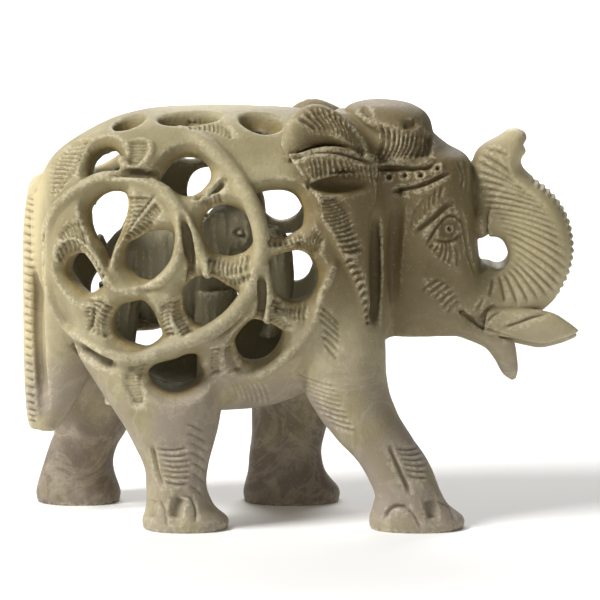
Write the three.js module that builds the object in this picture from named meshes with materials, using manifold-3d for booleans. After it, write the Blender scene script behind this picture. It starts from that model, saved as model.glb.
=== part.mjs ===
// Stone elephant walking with its trunk raised, its body pierced by vine scrolls around a calf.
// The whole carving is one block. Millimetres, +Z up, the head end is +X, the ground is z = 0.
import * as THREE from "three";
import { mergeVertices } from "three/addons/utils/BufferGeometryUtils.js";
import Module from "manifold-3d";

const wasm = await Module();
wasm.setup();

// Driving sizes
const REAR = -62.5;
const BACK_TOP = 92.8;
const BELLY = 24.6;
const HALF_WIDTH = 25.2;
const WALL = 4.6;
// Widening of each opening for the flats of its outline
const OPENING_EASE = 1.06;
const BODY_POWER = 2.4;
const SIDES = [-1, 1];
// The far ear and tusk were cut a little lower than the near ones
const FAR_DROP = 3;

// Body from rump to chest: x, top of the back, underside, half width
const BODY = [
  [-60.5, 72, 56, 4],
  [-56, 81, 48, 15],
  [-48, 87, 38, 21],
  [-38, BACK_TOP - 1.4, BELLY + 4, 24],
  [-24, BACK_TOP, BELLY, HALF_WIDTH],
  [-8, BACK_TOP - 0.2, BELLY + 0.5, HALF_WIDTH],
  [4, BACK_TOP - 1, BELLY + 5, 24],
  [12, BACK_TOP - 1.6, BELLY + 10, 20],
  [20, BACK_TOP - 6, BELLY + 16, 13],
];
const BODY_RINGS = 16;
const BODY_POINTS = 22;
const HOLLOW_RINGS = 8;
const HOLLOW_POINTS = 12;
const HOLLOW_ENDS = [-55.5, 7];

// Legs from sole to hip: height, centre x, distance from the middle, half length, half width
const NEAR_HIND = [
  [0, -25.8, 16.7, 9.4, 8.2],
  [2, -25.8, 16.7, 9.6, 8.3],
  [5, -27, 16.7, 7.6, 7.4],
  [9.5, -27.8, 16.7, 6.8, 6.9],
  [14.3, -27.9, 16.5, 7.3, 7.2],
  [21.5, -28.7, 15.5, 10, 8.6],
  [26, -29.7, 14.5, 11.9, 9.6],
  [32, -31.3, 13.4, 14.3, 10.2],
  [41, -34.6, 12, 16, 10],
  [52, -36, 9.5, 14, 9],
];
const FAR_HIND = [
  [0, -50.6, 16.7, 9.4, 8.2],
  [2.3, -50.6, 16.7, 9.6, 8.3],
  [6.4, -50.7, 16.7, 8.4, 7.5],
  [9.5, -50.4, 16.7, 7.8, 7],
  [13, -49.3, 16.6, 7.7, 7.1],
  [17, -47.6, 16, 8.3, 7.8],
  [24, -47, 15, 10.4, 9],
  [33, -46.6, 13, 12, 10.5],
  [46, -46, 11.5, 13, 10.5],
  [57, -45, 9, 11.5, 9],
];
const NEAR_FRONT = [
  [0, 26, 16.7, 10.4, 8.2],
  [2, 26, 16.7, 10.6, 8.3],
  [5, 24.7, 16.7, 8.5, 7.5],
  [8, 24, 16.7, 7.5, 6.9],
  [14.5, 21, 16.4, 7.8, 7.1],
  [20, 16.6, 15.8, 8.5, 7.8],
  [26, 12.5, 15, 9, 8.6],
  [33, 9.7, 14, 9.7, 9.2],
  [43, 8.6, 13, 10.4, 9],
  [52, 8.4, 12, 10, 8.5],
  [63, 8.4, 10.5, 9, 7.5],
];
const FAR_FRONT = [
  [0, -2, 16.7, 10.7, 8.2],
  [2.5, -2.1, 16.7, 10.9, 8.3],
  [6.5, -3.1, 16.7, 8.9, 7.5],
  [11, -3.4, 16.7, 8.2, 6.9],
  [16, -2.7, 16.4, 8.4, 7.2],
  [22, -1.8, 15.8, 9.2, 8],
  [30, 0, 14.5, 10, 9],
  [40, 2.5, 13, 10.4, 9],
  [54, 4, 11, 9.5, 8],
];
const LEG_POINTS = 10;

// Head from chin to crown: height, centre x, half length, half width
const HEAD = [
  [41.5, 26.5, 8.5, 7],
  [45, 27.5, 11, 9.8],
  [53, 28, 12.4, 12.4],
  [63, 27.5, 12.3, 13.8],
  [73, 26.5, 12.5, 14],
  [80.6, 25.2, 12.8, 12.6],
  [84, 22.6, 10.6, 10.8],
  [88, 19.2, 9.2, 9],
  [91.6, 16.5, 8, 6],
];

// Trunk: a fan around the loop, then a ladder of inner and outer edges up to the tip
const LOOP = { x: 43.6, z: 61, reach: 18, radius: 3.2 };
const FAN = { from: -125, to: 98, folds: 15, sweep: 52, depth: 0.55, half: 6.6 };
const TRUNK_POINTS = 8;
const TRUNK_TOP = [
  [42, 65.5, 51.7, 76.9, 6.4],
  [39, 70, 49.8, 79.4, 6.2],
  [38.4, 76, 49.7, 81.2, 6],
  [38.8, 81.2, 50.8, 83, 5.6],
  [40.8, 84, 50.9, 85.2, 5],
  [44.5, 86.1, 50.4, 86.9, 3.8],
  [46.3, 87.5, 48.8, 87.8, 2],
];

// Lower lip and tusk as ladders: upper x, upper z, lower x, lower z, half thickness
const LIP = [
  [33, 49, 30, 42, 8.5],
  [38, 47, 36, 40.6, 7.5],
  [44.5, 44, 40.9, 38.5, 6.2],
  [48, 40, 43.4, 36, 4.4],
  [49, 34, 45.6, 32.1, 2.6],
  [48.6, 30.9, 47.6, 30.5, 0.8],
];
const TUSK = [
  [42, 48, 41, 42, 2.3],
  [49, 48, 47.5, 41.2, 2.6],
  [56, 47.1, 53.7, 40, 2.3],
  [59.6, 45.1, 58.2, 40.8, 1.5],
  [62.5, 43, 62.3, 42.4, 0.4],
];
const TUSK_Y = 6;
const MUZZLE = { x: 39, z: 50.5, half: [7.5, 8.4, 7] };

// Ear folds as ladders running from the rear: upper x, upper z, lower x, lower z, half depth, y
const EAR_FOLD = [
  [-4.4, 87, -2.8, 84.5, 0.8, 19],
  [-3.3, 91.4, -0.1, 84.7, 2.6, 18],
  [-0.1, 94.6, 3.3, 86.1, 3.4, 16.5],
  [3.9, 95.5, 6.6, 86.3, 3.6, 15.5],
  [8.9, 93.4, 10, 85.6, 3.4, 15.5],
  [12.7, 90.4, 13.4, 84.3, 2.6, 15.2],
  [15, 85.9, 15.9, 83.6, 0.9, 15],
];
const EAR_BAND = [
  [-2.8, 85.2, -0.1, 80.6, 1.2, 21.2],
  [-0.1, 85.4, 3, 76.8, 2.2, 21.4],
  [3.3, 86.4, 4.8, 79.1, 2.6, 20.6],
  [7.8, 86.6, 8.4, 80.9, 2.6, 19.6],
  [12.3, 85.5, 12.7, 80.7, 2.4, 17.8],
  [17.2, 83.9, 17.2, 79.5, 1.2, 15.2],
];
// Ear flap from root to tip: height, rear x and y, front x and y, half thickness
const EAR_FLAP = [
  [81, 1.5, 22.4, 17, 15.4, 2.2],
  [74, 3, 24, 16.6, 16, 2.3],
  [66, 7.2, 23.6, 16, 17, 2.2],
  [57, 11.4, 21.4, 15.6, 17.2, 2],
  [50, 13.4, 19.2, 15.8, 16.8, 1.7],
  [44, 14, 17.2, 15.4, 16, 1.3],
  [39.5, 13.6, 15.6, 14.2, 15, 0.6],
];
// Deep hollows around the ear: centre x, y, z, half sizes
const EAR_CUTS = [
  [11, 22, 78, 6.6, 5.5, 2.6],
  [16.6, 18.6, 60, 0.9, 4.6, 13],
  [20.4, 16.8, 63.4, 1.3, 4.4, 9.5],
];

// Headdress: a smooth domed bun over a fluted drum
const BUN = { x: 22.2, flutes: 14, depth: 0.08 };
// Bun from band to crown: height, half length, half width, share of the flute depth
const BUN_ROWS = [
  [80.4, 7.2, 12.4, 0],
  [82.3, 7.7, 13, 0],
  [82.9, 7.7, 13, 1],
  [86.6, 7.5, 12.4, 1],
  [89.6, 6.6, 10.8, 1],
  [92.4, 4.4, 7, 0],
  [93.8, 1.6, 2.4, 0],
];

// Tail down the rump: height, distance of its rear edge from the rear end, depth, half width
const TAIL = [
  [77.5, 3.6, 3, 1.2],
  [74, 1.2, 5, 2.6],
  [60, 0, 5.5, 2.8],
  [24, 0.6, 6, 2.6],
  [19.5, 3.4, 4, 1.4],
];

// Stone under the tail, between the thighs: height, centre x, half length, half width
const RUMP = [
  [19, -57, 2, 1.5],
  [26, -55, 4.5, 4],
  [34, -53, 6.5, 6.5],
  [44, -51.5, 8.2, 9],
  [58, -50, 9, 10],
];

// Openings in each flank: centre x and z, half length, half width, turn in degrees, taper,
// then how far the far flank's opening lies from its near partner in x and z
const OPENINGS = [
  [-44.9, 83.4, 4.9, 2.6, 38, 0.2, 0, -2],
  [-43.8, 69.6, 8, 3.8, 85, 0.45, 0, -3],
  [-34, 63.7, 6.2, 5, 46, -0.2, 0, -3],
  [-50.4, 57.6, 4.7, 4, 96, 0.2, 0, 6],
  [-37.8, 46.6, 5.3, 5.7, 17, 0.2, -6, 2],
  [-16.4, 69.6, 5.7, 5.6, 60, 0.1, -4, 2],
  [-25.7, 81.8, 5.3, 4.1, 0, 0.15, 0, 2],
  [-4.8, 74.1, 5.9, 5, -36, 0.2, 0, -4],
  [-0.9, 58.7, 5.5, 5.6, 41, -0.15, 0, -3],
  [-19.9, 53.3, 6.2, 5.8, 13, -0.2, 0, 0],
  [-28.3, 34.8, 6.6, 4.6, 8, 0.2, -6, 2.4],
  [-9.2, 42.4, 5.4, 5.2, -40, 0.1, 0, 5],
];
// Openings in the back, beside the spine: centre x and y, half length, half width, turn
const BACK_OPENINGS = [
  [-39.5, 7.5, 3, 3.6, 0],
  [-25, 8.6, 7, 2.8, -4],
  [-8.7, 10, 4.6, 3.6, 20],
];
const OPENING_POINTS = 10;
const FAR_OPENING_POINTS = 8;

// Raised vine ribs: whether the plainer far flank has it too, and its path of x and z
const RIBS = [
  [false, [[-55.5, 60], [-55.5, 67.5], [-51.5, 76.5], [-40.5, 80.5], [-30, 78], [-27, 67.5],
    [-31, 58.5], [-36, 56.3]]],
  [false, [[-30, 78], [-26.5, 73.5], [-23.5, 67.5], [-21.5, 62]]],
  [true, [[-25.5, 89], [-18.5, 85], [-13.5, 75.5], [-9.5, 67.5], [-10.5, 56], [-19.5, 45.5],
    [-33, 40], [-45, 40.5], [-53, 48], [-56, 57]]],
  [false, [[-9, 62], [-8, 56], [-8, 49]]],
  [false, [[-49, 84.5], [-43, 87.5], [-34, 89], [-25.5, 89.2], [-13.5, 86]]],
  [false, [[6.5, 68], [6.5, 61], [4, 52.5], [-3, 40.5], [-10, 34.6], [-17, 33]]],
];
const RIB_HALF = 1.6;
const RIB_HEIGHT = 1.3;
const RIB_STEP = 6;

// Calf standing in the hollow
const CALF = { x: -29, z: 56, half: [16, 9.6, 13] };
const CALF_HEAD = { x: -14.5, y: -3, z: 65, half: [7.2, 7, 7] };
const CALF_LEGS = [[-41, 5], [-40.5, -5], [-20, 5], [-20, -5]];
const CALF_TRUNK = [
  [-10, 66, 5],
  [-5.6, 62, 3.6],
  [-4.4, 54, 2.9],
  [-5.2, 46, 2.4],
  [-7.6, 41, 1.9],
];
const CALF_FLOOR = 27;

function point(x, y, z) {
  return new THREE.Vector3(x, y, z);
}

// Smooth interpolation of every column of a station table at one value of its first column
function between(stations, value) {
  const last = stations.length - 1;
  let i = 0;
  while (i < last - 1 && value > stations[i + 1][0]) i += 1;
  const before = stations[Math.max(i - 1, 0)];
  const [a, b] = [stations[i], stations[i + 1]];
  const after = stations[Math.min(i + 2, last)];
  const gap = b[0] - a[0];
  const t = THREE.MathUtils.clamp((value - a[0]) / gap, 0, 1);
  return a.map((start, k) => {
    const slopeA = (b[k] - before[k]) / (b[0] - before[0]) * gap;
    const slopeB = (after[k] - a[k]) / (after[0] - a[0]) * gap;
    const rise = b[k] - start;
    return start + t * slopeA + t * t * (3 * rise - 2 * slopeA - slopeB)
      + t * t * t * (slopeA + slopeB - 2 * rise);
  });
}

// Closed ring of points, from round (power 2) towards square (higher power)
function oval(centre, across, up, halfAcross, halfUp, count, power = 2) {
  const ring = [];
  for (let i = 0; i < count; i += 1) {
    const angle = (i / count) * 2 * Math.PI;
    const [c, s] = [Math.cos(angle), Math.sin(angle)];
    const u = Math.sign(c) * Math.abs(c) ** (2 / power) * halfAcross;
    const v = Math.sign(s) * Math.abs(s) ** (2 / power) * halfUp;
    ring.push(centre.clone().addScaledVector(across, u).addScaledVector(up, v));
  }
  return ring;
}

// Skin over a row of rings, closed by a fan at each end
function loft(rings) {
  const count = rings[0].length;
  const middle = (ring) => ring.reduce((sum, p) => sum.add(p), point(0, 0, 0)).divideScalar(count);
  const points = [...rings.flat(), middle(rings[0]), middle(rings[rings.length - 1])];
  const [first, final] = [points.length - 2, points.length - 1];
  const index = [];
  for (let i = 0; i < count; i += 1) {
    const next = (i + 1) % count;
    for (let r = 0; r < rings.length - 1; r += 1) {
      const [low, high] = [r * count, (r + 1) * count];
      index.push(low + i, low + next, high + next, low + i, high + next, high + i);
    }
    const end = (rings.length - 1) * count;
    index.push(first, next, i, final, end + i, end + next);
  }
  const geometry = new THREE.BufferGeometry().setFromPoints(points);
  geometry.setIndex(index);
  return geometry;
}

// Closed solid of a geometry, turned right side out where it was wound the other way
function solid(geometry) {
  geometry.deleteAttribute("normal");
  geometry.deleteAttribute("uv");
  const merged = mergeVertices(geometry, 1e-4);
  const triVerts = Uint32Array.from(merged.index.array);
  const vertProperties = Float32Array.from(merged.attributes.position.array);
  const build = () => new wasm.Manifold(new wasm.Mesh({ numProp: 3, vertProperties, triVerts }));
  const made = build();
  if (made.volume() > 0) return made;
  for (let i = 0; i < triVerts.length; i += 3) {
    [triVerts[i + 1], triVerts[i + 2]] = [triVerts[i + 2], triVerts[i + 1]];
  }
  return build();
}

const X = point(1, 0, 0);
const Y = point(0, 1, 0);
const Z = point(0, 0, 1);

function ball(x, y, z, half, around = 12, rows = 8) {
  const geometry = new THREE.SphereGeometry(1, around, rows);
  geometry.scale(half[0], half[1], half[2]);
  geometry.translate(x, y, z);
  return solid(geometry);
}

// Body cross-section at x, shrunk by an inset
function bodyRing(x, count, inset = 0, squeeze = 1) {
  const [, top, under, half] = between(BODY, x);
  const centre = point(x, 0, (top + under) / 2);
  const halfUp = ((top - under) / 2 - inset) * squeeze;
  return oval(centre, Y, Z, (half - inset) * squeeze, halfUp, count, BODY_POWER);
}

function body() {
  const [from, to] = [BODY[0][0], BODY[BODY.length - 1][0]];
  const rings = [];
  for (let i = 0; i <= BODY_RINGS; i += 1) {
    rings.push(bodyRing(from + (to - from) * (i / BODY_RINGS), BODY_POINTS));
  }
  return solid(loft(rings));
}

function hollow() {
  const [from, to] = HOLLOW_ENDS;
  const [middle, half] = [(from + to) / 2, (to - from) / 2];
  const rings = [];
  for (let i = 0; i <= HOLLOW_RINGS; i += 1) {
    const reach = Math.sin(((i / HOLLOW_RINGS) - 0.5) * Math.PI) * 0.985;
    rings.push(bodyRing(middle + half * reach, HOLLOW_POINTS, WALL, (1 - reach ** 6) ** 0.5));
  }
  return solid(loft(rings));
}

// Point on the flank at x and z, and the direction straight out of the stone there
function flank(x, z, side) {
  const [, top, under, half] = between(BODY, x);
  const rise = Math.min(Math.abs(2 * z - top - under) / (top - under), 0.999);
  return point(x, side * half * (1 - rise ** BODY_POWER) ** (1 / BODY_POWER), z);
}

function outward(x, z, side) {
  const step = 0.4;
  const alongX = flank(x + step, z, side).sub(flank(x - step, z, side));
  const alongZ = flank(x, z + step, side).sub(flank(x, z - step, side));
  return alongZ.cross(alongX).multiplyScalar(side).normalize();
}

function rib(path, side) {
  const curve = new THREE.SplineCurve(path.map(([x, z]) => new THREE.Vector2(x, z)));
  const steps = Math.max(3, Math.round(curve.getLength() / RIB_STEP));
  const rings = [];
  for (let i = 0; i <= steps; i += 1) {
    const spot = curve.getPointAt(i / steps);
    const way = curve.getTangentAt(i / steps).multiplyScalar(0.4);
    const base = flank(spot.x, spot.y, side);
    const up = outward(spot.x, spot.y, side);
    const along = flank(spot.x + way.x, spot.y + way.y, side).sub(base).normalize();
    const across = along.cross(up);
    const full = i === 0 || i === steps ? 0.5 : 1;
    rings.push([[-1, -1.2], [-0.6, 0.9], [0.6, 0.9], [1, -1.2]].map(([u, v]) => (
      base.clone().addScaledVector(across, u * RIB_HALF * full).addScaledVector(up, v * RIB_HEIGHT * full)
    )));
  }
  return solid(loft(rings));
}

function leg(stations, side) {
  const rings = stations.map(([z, x, y, halfX, halfY]) => (
    oval(point(x, side * y, z), X, Y, halfX, halfY, LEG_POINTS, 2.3)
  ));
  return solid(loft(rings));
}

function head() {
  const rings = HEAD.map(([z, x, halfX, halfY]) => oval(point(x, 0, z), X, Y, halfX, halfY, 16, 2.4));
  return solid(loft(rings));
}

// Bar whose sections stand between an upper and a lower edge line in the plane y
function ladder(stations, side, middleY, count, power, drop = 0) {
  const rings = stations.map(([upperX, upperZ, lowerX, lowerZ, halfDepth, ownY]) => {
    const y = side * (ownY ?? middleY);
    const centre = point((upperX + lowerX) / 2, y, (upperZ + lowerZ) / 2 - drop);
    const edge = point((upperX - lowerX) / 2, 0, (upperZ - lowerZ) / 2);
    const halfUp = edge.length();
    return oval(centre, Y, edge.normalize(), halfDepth, halfUp, count, power);
  });
  return solid(loft(rings));
}

// Trunk sections swing round the loop with a fold at every second one, then climb to the tip
function trunk() {
  const rings = [];
  const count = TRUNK_POINTS;
  const total = FAN.folds * 2;
  for (let i = 0; i <= total; i += 1) {
    const turn = FAN.from + (FAN.to - FAN.from) * (i / total);
    const sunk = i % 2 ? FAN.depth : 0;
    const inner = LOOP.radius - 1;
    const outer = LOOP.reach - sunk * 0.8;
    const middle = point((inner + outer) / 2, 0, 0);
    const flat = oval(middle, X, Y, (outer - inner) / 2, FAN.half - sunk, count, 2.8);
    rings.push(flat.map((p) => {
      const angle = THREE.MathUtils.degToRad(turn + FAN.sweep * (0.5 - p.x / LOOP.reach));
      return point(LOOP.x + p.x * Math.cos(angle), p.y, LOOP.z + p.x * Math.sin(angle));
    }));
  }
  const fan = solid(loft(rings));
  const top = TRUNK_TOP.map(([innerX, innerZ, outerX, outerZ, half]) => {
    const edge = point((outerX - innerX) / 2, 0, (outerZ - innerZ) / 2);
    const centre = point((outerX + innerX) / 2, 0, (outerZ + innerZ) / 2);
    const reach = edge.length();
    return oval(centre, edge.normalize(), Y, reach, half, count, 2.6);
  });
  return fan.add(solid(loft(top)));
}

function earFlap(side) {
  const rings = EAR_FLAP.map(([z, rearX, rearY, frontX, frontY, half]) => {
    const run = point((frontX - rearX) / 2, side * (frontY - rearY) / 2, 0);
    const centre = point((frontX + rearX) / 2, side * (frontY + rearY) / 2, z);
    const reach = run.length();
    const along = run.normalize();
    return oval(centre, along, along.clone().cross(Z), reach, half, 8, 2.6);
  });
  return solid(loft(rings));
}

// Bun with upright flutes: every second point of a fluted ring sinks
function bun() {
  const count = BUN.flutes * 2;
  const rings = BUN_ROWS.map(([z, halfX, halfY, share]) => {
    const middle = point(BUN.x, 0, z);
    const ring = oval(middle, X, Y, halfX, halfY, count);
    return ring.map((p, k) => (k % 2 ? p.lerp(middle, BUN.depth * share) : p));
  });
  return solid(loft(rings));
}

function tail() {
  const rings = TAIL.map(([z, inset, depth, halfY]) => (
    oval(point(REAR + inset + depth / 2, 0, z), X, Y, depth / 2, halfY, 8, 3)
  ));
  return solid(loft(rings));
}

function rump() {
  const rings = RUMP.map(([z, x, halfX, halfY]) => oval(point(x, 0, z), X, Y, halfX, halfY, 10));
  return solid(loft(rings));
}

// Egg-shaped outline, wider at one end by its taper
function eggShape(count, x, z, halfLength, halfWidth, turn, taper = 0) {
  const angle = THREE.MathUtils.degToRad(turn);
  const outline = [];
  for (let i = 0; i < count; i += 1) {
    const a = (i / count) * 2 * Math.PI;
    const u = OPENING_EASE * halfLength * Math.cos(a);
    const v = OPENING_EASE * halfWidth * Math.sin(a) * (1 + taper * Math.cos(a));
    const spot = new THREE.Vector2(u, v).rotateAround(new THREE.Vector2(), angle);
    outline.push(spot.add(new THREE.Vector2(x, z)));
  }
  return new THREE.Shape(outline);
}

// Cutter from just past the middle plane out through one flank
function flankCutter([x, z, halfLength, halfWidth, turn, taper, farX, farZ], side) {
  const shape = side < 0
    ? eggShape(OPENING_POINTS, x, z, halfLength, halfWidth, turn, taper)
    : eggShape(FAR_OPENING_POINTS, x + farX, z + farZ, halfLength, halfWidth, turn, taper);
  const geometry = new THREE.ExtrudeGeometry(shape, { depth: 30, bevelEnabled: false });
  geometry.rotateX(Math.PI / 2);
  geometry.translate(0, side < 0 ? -3 : 33, 0);
  return solid(geometry);
}

function backCutter([x, y, halfLength, halfWidth, turn], side) {
  const shape = eggShape(FAR_OPENING_POINTS, x, side * y, halfLength, halfWidth, side * turn);
  const geometry = new THREE.ExtrudeGeometry(shape, { depth: 22, bevelEnabled: false });
  geometry.translate(0, 0, 78);
  return solid(geometry);
}

function loopCutter() {
  const geometry = new THREE.CylinderGeometry(LOOP.radius, LOOP.radius, 30, 10);
  geometry.scale(0.86, 1, 1.12);
  geometry.rotateY(-Math.PI / 5);
  geometry.translate(LOOP.x, 0, LOOP.z);
  return solid(geometry);
}

function calf() {
  const pieces = [
    ball(CALF.x, 0, CALF.z, CALF.half, 9, 6),
    ball(CALF_HEAD.x, CALF_HEAD.y, CALF_HEAD.z, CALF_HEAD.half, 8, 6),
    ball(CALF_HEAD.x - 4, CALF_HEAD.y - 5.4, CALF_HEAD.z - 0.5, [4, 1.8, 5.5], 6, 4),
  ];
  for (const [x, y] of CALF_LEGS) {
    const rings = [[CALF_FLOOR, 3.4], [36, 3.2], [52, 4.6]].map(([z, half]) => (
      oval(point(x, y, z), X, Y, half, half, 5)
    ));
    pieces.push(solid(loft(rings)));
  }
  const trunkRings = CALF_TRUNK.map(([x, z, half]) => oval(point(x, CALF_HEAD.y, z), X, Y, half, half, 5));
  pieces.push(solid(loft(trunkRings)));
  return pieces.reduce((whole, piece) => whole.add(piece));
}

const masses = [
  body(),
  head(),
  trunk(),
  tail(),
  rump(),
  bun(),
  ball(MUZZLE.x, 0, MUZZLE.z, MUZZLE.half, 10, 6),
  leg(NEAR_HIND, -1),
  leg(NEAR_FRONT, -1),
  leg(FAR_HIND, 1),
  leg(FAR_FRONT, 1),
  ladder(LIP, 1, 0, 8, 2.4),
];
for (const side of SIDES) {
  const drop = side > 0 ? FAR_DROP : 0;
  masses.push(
    ladder(TUSK, side, TUSK_Y, 8, 2.2, drop),
    ladder(EAR_FOLD, side, 0, 8, 2.2, drop),
    ladder(EAR_BAND, side, 0, 8, 2.2, drop),
    earFlap(side),
    ...RIBS.filter(([onFarSide]) => onFarSide || side < 0).map(([, path]) => rib(path, side)),
  );
}

const cuts = [hollow(), loopCutter()];
for (const side of SIDES) {
  cuts.push(
    ...OPENINGS.map((opening) => flankCutter(opening, side)),
    ...BACK_OPENINGS.map((opening) => backCutter(opening, side)),
    ...EAR_CUTS.map(([x, y, z, ...half]) => ball(x, side * y, z, half, 6, 6)),
  );
}

const join = (pieces) => pieces.reduce((whole, piece) => whole.add(piece));
const carving = join(masses).subtract(join(cuts)).add(calf());

// Geometry of a finished solid
function toGeometry(made) {
  const mesh = made.getMesh();
  const geometry = new THREE.BufferGeometry();
  geometry.setAttribute("position", new THREE.BufferAttribute(mesh.vertProperties, 3));
  geometry.setIndex(new THREE.BufferAttribute(mesh.triVerts, 1));
  geometry.computeVertexNormals();
  return geometry;
}

const soapstone = new THREE.MeshStandardMaterial({ color: "#b3a67f", roughness: 0.55, metalness: 0 });
soapstone.name = "soapstone";
const mesh = new THREE.Mesh(toGeometry(carving), soapstone);
mesh.name = "elephant_carving";

const group = new THREE.Group();
group.name = "openwork_stone_elephant";
group.add(mesh);

export default group;
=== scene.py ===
"""Openwork soapstone elephant, carved from one block with a calf inside, and the stage that it stands on."""

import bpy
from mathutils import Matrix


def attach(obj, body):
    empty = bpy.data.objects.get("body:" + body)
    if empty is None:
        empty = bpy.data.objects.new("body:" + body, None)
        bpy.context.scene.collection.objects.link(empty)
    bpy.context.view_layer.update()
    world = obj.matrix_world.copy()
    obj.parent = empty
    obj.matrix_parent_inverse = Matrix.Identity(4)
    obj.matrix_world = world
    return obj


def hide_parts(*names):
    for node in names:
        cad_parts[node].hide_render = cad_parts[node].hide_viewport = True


bl_info = {
    "name": "Openwork soapstone elephant",
    "version": (1, 0, 0),
    "blender": (4, 5, 0),
    "location": "View3D > Sidebar > Carving",
    "description": "Carves a soapstone elephant with pierced vine scrolls and a calf inside",
    "category": "Object",
}

import math

import bpy
import numpy as np
import openvdb

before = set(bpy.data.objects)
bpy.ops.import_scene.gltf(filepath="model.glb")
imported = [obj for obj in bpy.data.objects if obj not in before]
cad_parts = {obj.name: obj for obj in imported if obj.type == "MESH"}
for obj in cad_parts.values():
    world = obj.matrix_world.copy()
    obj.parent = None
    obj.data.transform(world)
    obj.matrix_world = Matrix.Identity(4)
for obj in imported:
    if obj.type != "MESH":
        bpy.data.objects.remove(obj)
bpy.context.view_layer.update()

# Millimetres to metres
MM = 0.001
# Directions of the carving: towards the head, and from the near side to the far side
ALONG, ACROSS = (1, 0, 0), (0, 1, 0)
# Cells of signed distance kept on each side of a surface
BAND = 12
BLOCK_LOW, BLOCK_HIGH = (-66, -31, -3), (66, 31, 99)

# Front view that the carving is drawn on: 600 units wide and high, seen 9.3 degrees from above
UNIT = 0.2252
VIEW_TILT = math.radians(9.3)
VIEW_DISTANCE = 2000.0
VIEW_AIM = np.array([-0.1, 0.0, 48.8])
VIEW_MIDDLE = 300.0
# Millimetres on each side of a point that the slope of the skin is read over
SLOPE_STEP = 1.5
# Part of a line of sight that is searched for the skin, in mm from the middle, and its step
SIGHT = (-40, 10, 0.2)

# Body from rump to chest: x, top of the back, underside, half width
REAR = -62.5
BODY_POWER = 2.4
BODY = [
    [-60.5, 72, 56, 4], [-56, 81, 48, 15], [-48, 87, 38, 21], [-38, 91.4, 28.6, 24],
     [-24, 92.8, 24.6, 25.2],
    [-8, 92.6, 25.1, 25.2], [4, 91.8, 29.6, 24], [12, 91.2, 34.6, 20], [20, 86.8, 40.6, 13],
]
WALL = 4.6
HOLLOW_ENDS = (-55.5, 7)

# Legs from sole to hip: height, centre x, distance from the middle, half length, half width
NEAR_HIND = [
    [0, -25.8, 16.7, 9.4, 8.2], [2, -25.8, 16.7, 9.6, 8.3], [5, -27, 16.7, 7.6, 7.4],
     [9.5, -27.8, 16.7, 6.8, 6.9],
    [14.3, -27.9, 16.5, 7.3, 7.2], [21.5, -28.7, 15.5, 10, 8.6], [26, -29.7, 14.5, 11.9, 9.6],
    [32, -31.3, 13.4, 14.3, 10.2], [41, -34.6, 12, 16, 10], [52, -36, 9.5, 14, 9],
]
FAR_HIND = [
    [0, -50.6, 16.7, 9.4, 8.2], [2.3, -50.6, 16.7, 9.6, 8.3], [6.4, -50.7, 16.7, 8.4, 7.5],
    [9.5, -50.4, 16.7, 7.8, 7], [13, -49.3, 16.6, 7.7, 7.1], [17, -47.6, 16, 8.3, 7.8],
     [24, -47, 15, 10.4, 9],
    [33, -46.6, 13, 12, 10.5], [46, -46, 11.5, 13, 10.5], [57, -45, 9, 11.5, 9],
]
NEAR_FRONT = [
    [0, 26, 16.7, 10.4, 8.2], [2, 26, 16.7, 10.6, 8.3], [5, 24.7, 16.7, 8.5, 7.5], [8, 24, 16.7, 7.5, 6.9],
    [14.5, 21, 16.4, 7.8, 7.1], [20, 16.6, 15.8, 8.5, 7.8], [26, 12.5, 15, 9, 8.6], [33, 9.7, 14, 9.7, 9.2],
    [43, 8.6, 13, 10.4, 9], [52, 8.4, 12, 10, 8.5], [63, 8.4, 10.5, 9, 7.5],
]
FAR_FRONT = [
    [0, -2, 16.7, 10.7, 8.2], [2.5, -2.1, 16.7, 10.9, 8.3], [6.5, -3.1, 16.7, 8.9, 7.5],
    [11, -3.4, 16.7, 8.2, 6.9], [16, -2.7, 16.4, 8.4, 7.2], [22, -1.8, 15.8, 9.2, 8], [30, 0, 14.5, 10, 9],
    [40, 2.5, 13, 10.4, 9], [54, 4, 11, 9.5, 8],
]

# Head from chin to crown: height, centre x, half length, half width
HEAD = [
    [41.5, 26.5, 8.5, 7], [45, 27.5, 11, 9.8], [53, 28, 12.4, 12.4], [63, 27.5, 12.3, 13.8],
     [73, 26.5, 12.5, 14],
    [80.6, 25.2, 12.8, 12.6], [84, 22.6, 10.6, 10.8], [88, 19.2, 9.2, 9], [91.6, 16.5, 8, 6],
]

# Trunk: a fan round the loop, then inner and outer edges up to the tip with the half thickness
LOOP = {"x": 43.6, "z": 61.0, "reach": 18.0, "radius": 3.2}
FAN = {"from": -125.0, "to": 98.0, "sweep": 52.0, "half": 6.6, "notch": 5.4}
TRUNK_TOP = [
    [42, 65.5, 51.7, 76.9, 6.4], [39, 70, 49.8, 79.4, 6.2], [38.4, 76, 49.7, 81.2, 6],
     [38.8, 81.2, 50.8, 83, 5.6],
    [40.8, 84, 50.9, 85.2, 5], [44.5, 86.1, 50.4, 86.9, 3.8], [46.3, 87.5, 48.8, 87.8, 2],
]

# Lower lip and tusk: upper x and z, lower x and z, half thickness
LIP = [
    [33, 49, 30, 42, 8.5], [38, 47, 36, 40.6, 7.5], [44.5, 44, 40.9, 38.5, 6.2], [48, 40, 43.4, 36, 4.4],
    [49, 34, 45.6, 32.1, 2.6], [48.6, 30.9, 47.6, 30.5, 0.8],
]
TUSK = [
    [42, 48, 41, 42, 2.3], [49, 48, 47.5, 41.2, 2.6], [56, 47.1, 53.7, 40, 2.3],
     [59.6, 45.1, 58.2, 40.8, 1.5],
    [62.5, 43, 62.3, 42.4, 0.4],
]
TUSK_Y = 6
FAR_DROP = 3
MUZZLE = ((39, 0, 50.5), (7.5, 8.4, 7))
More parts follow.
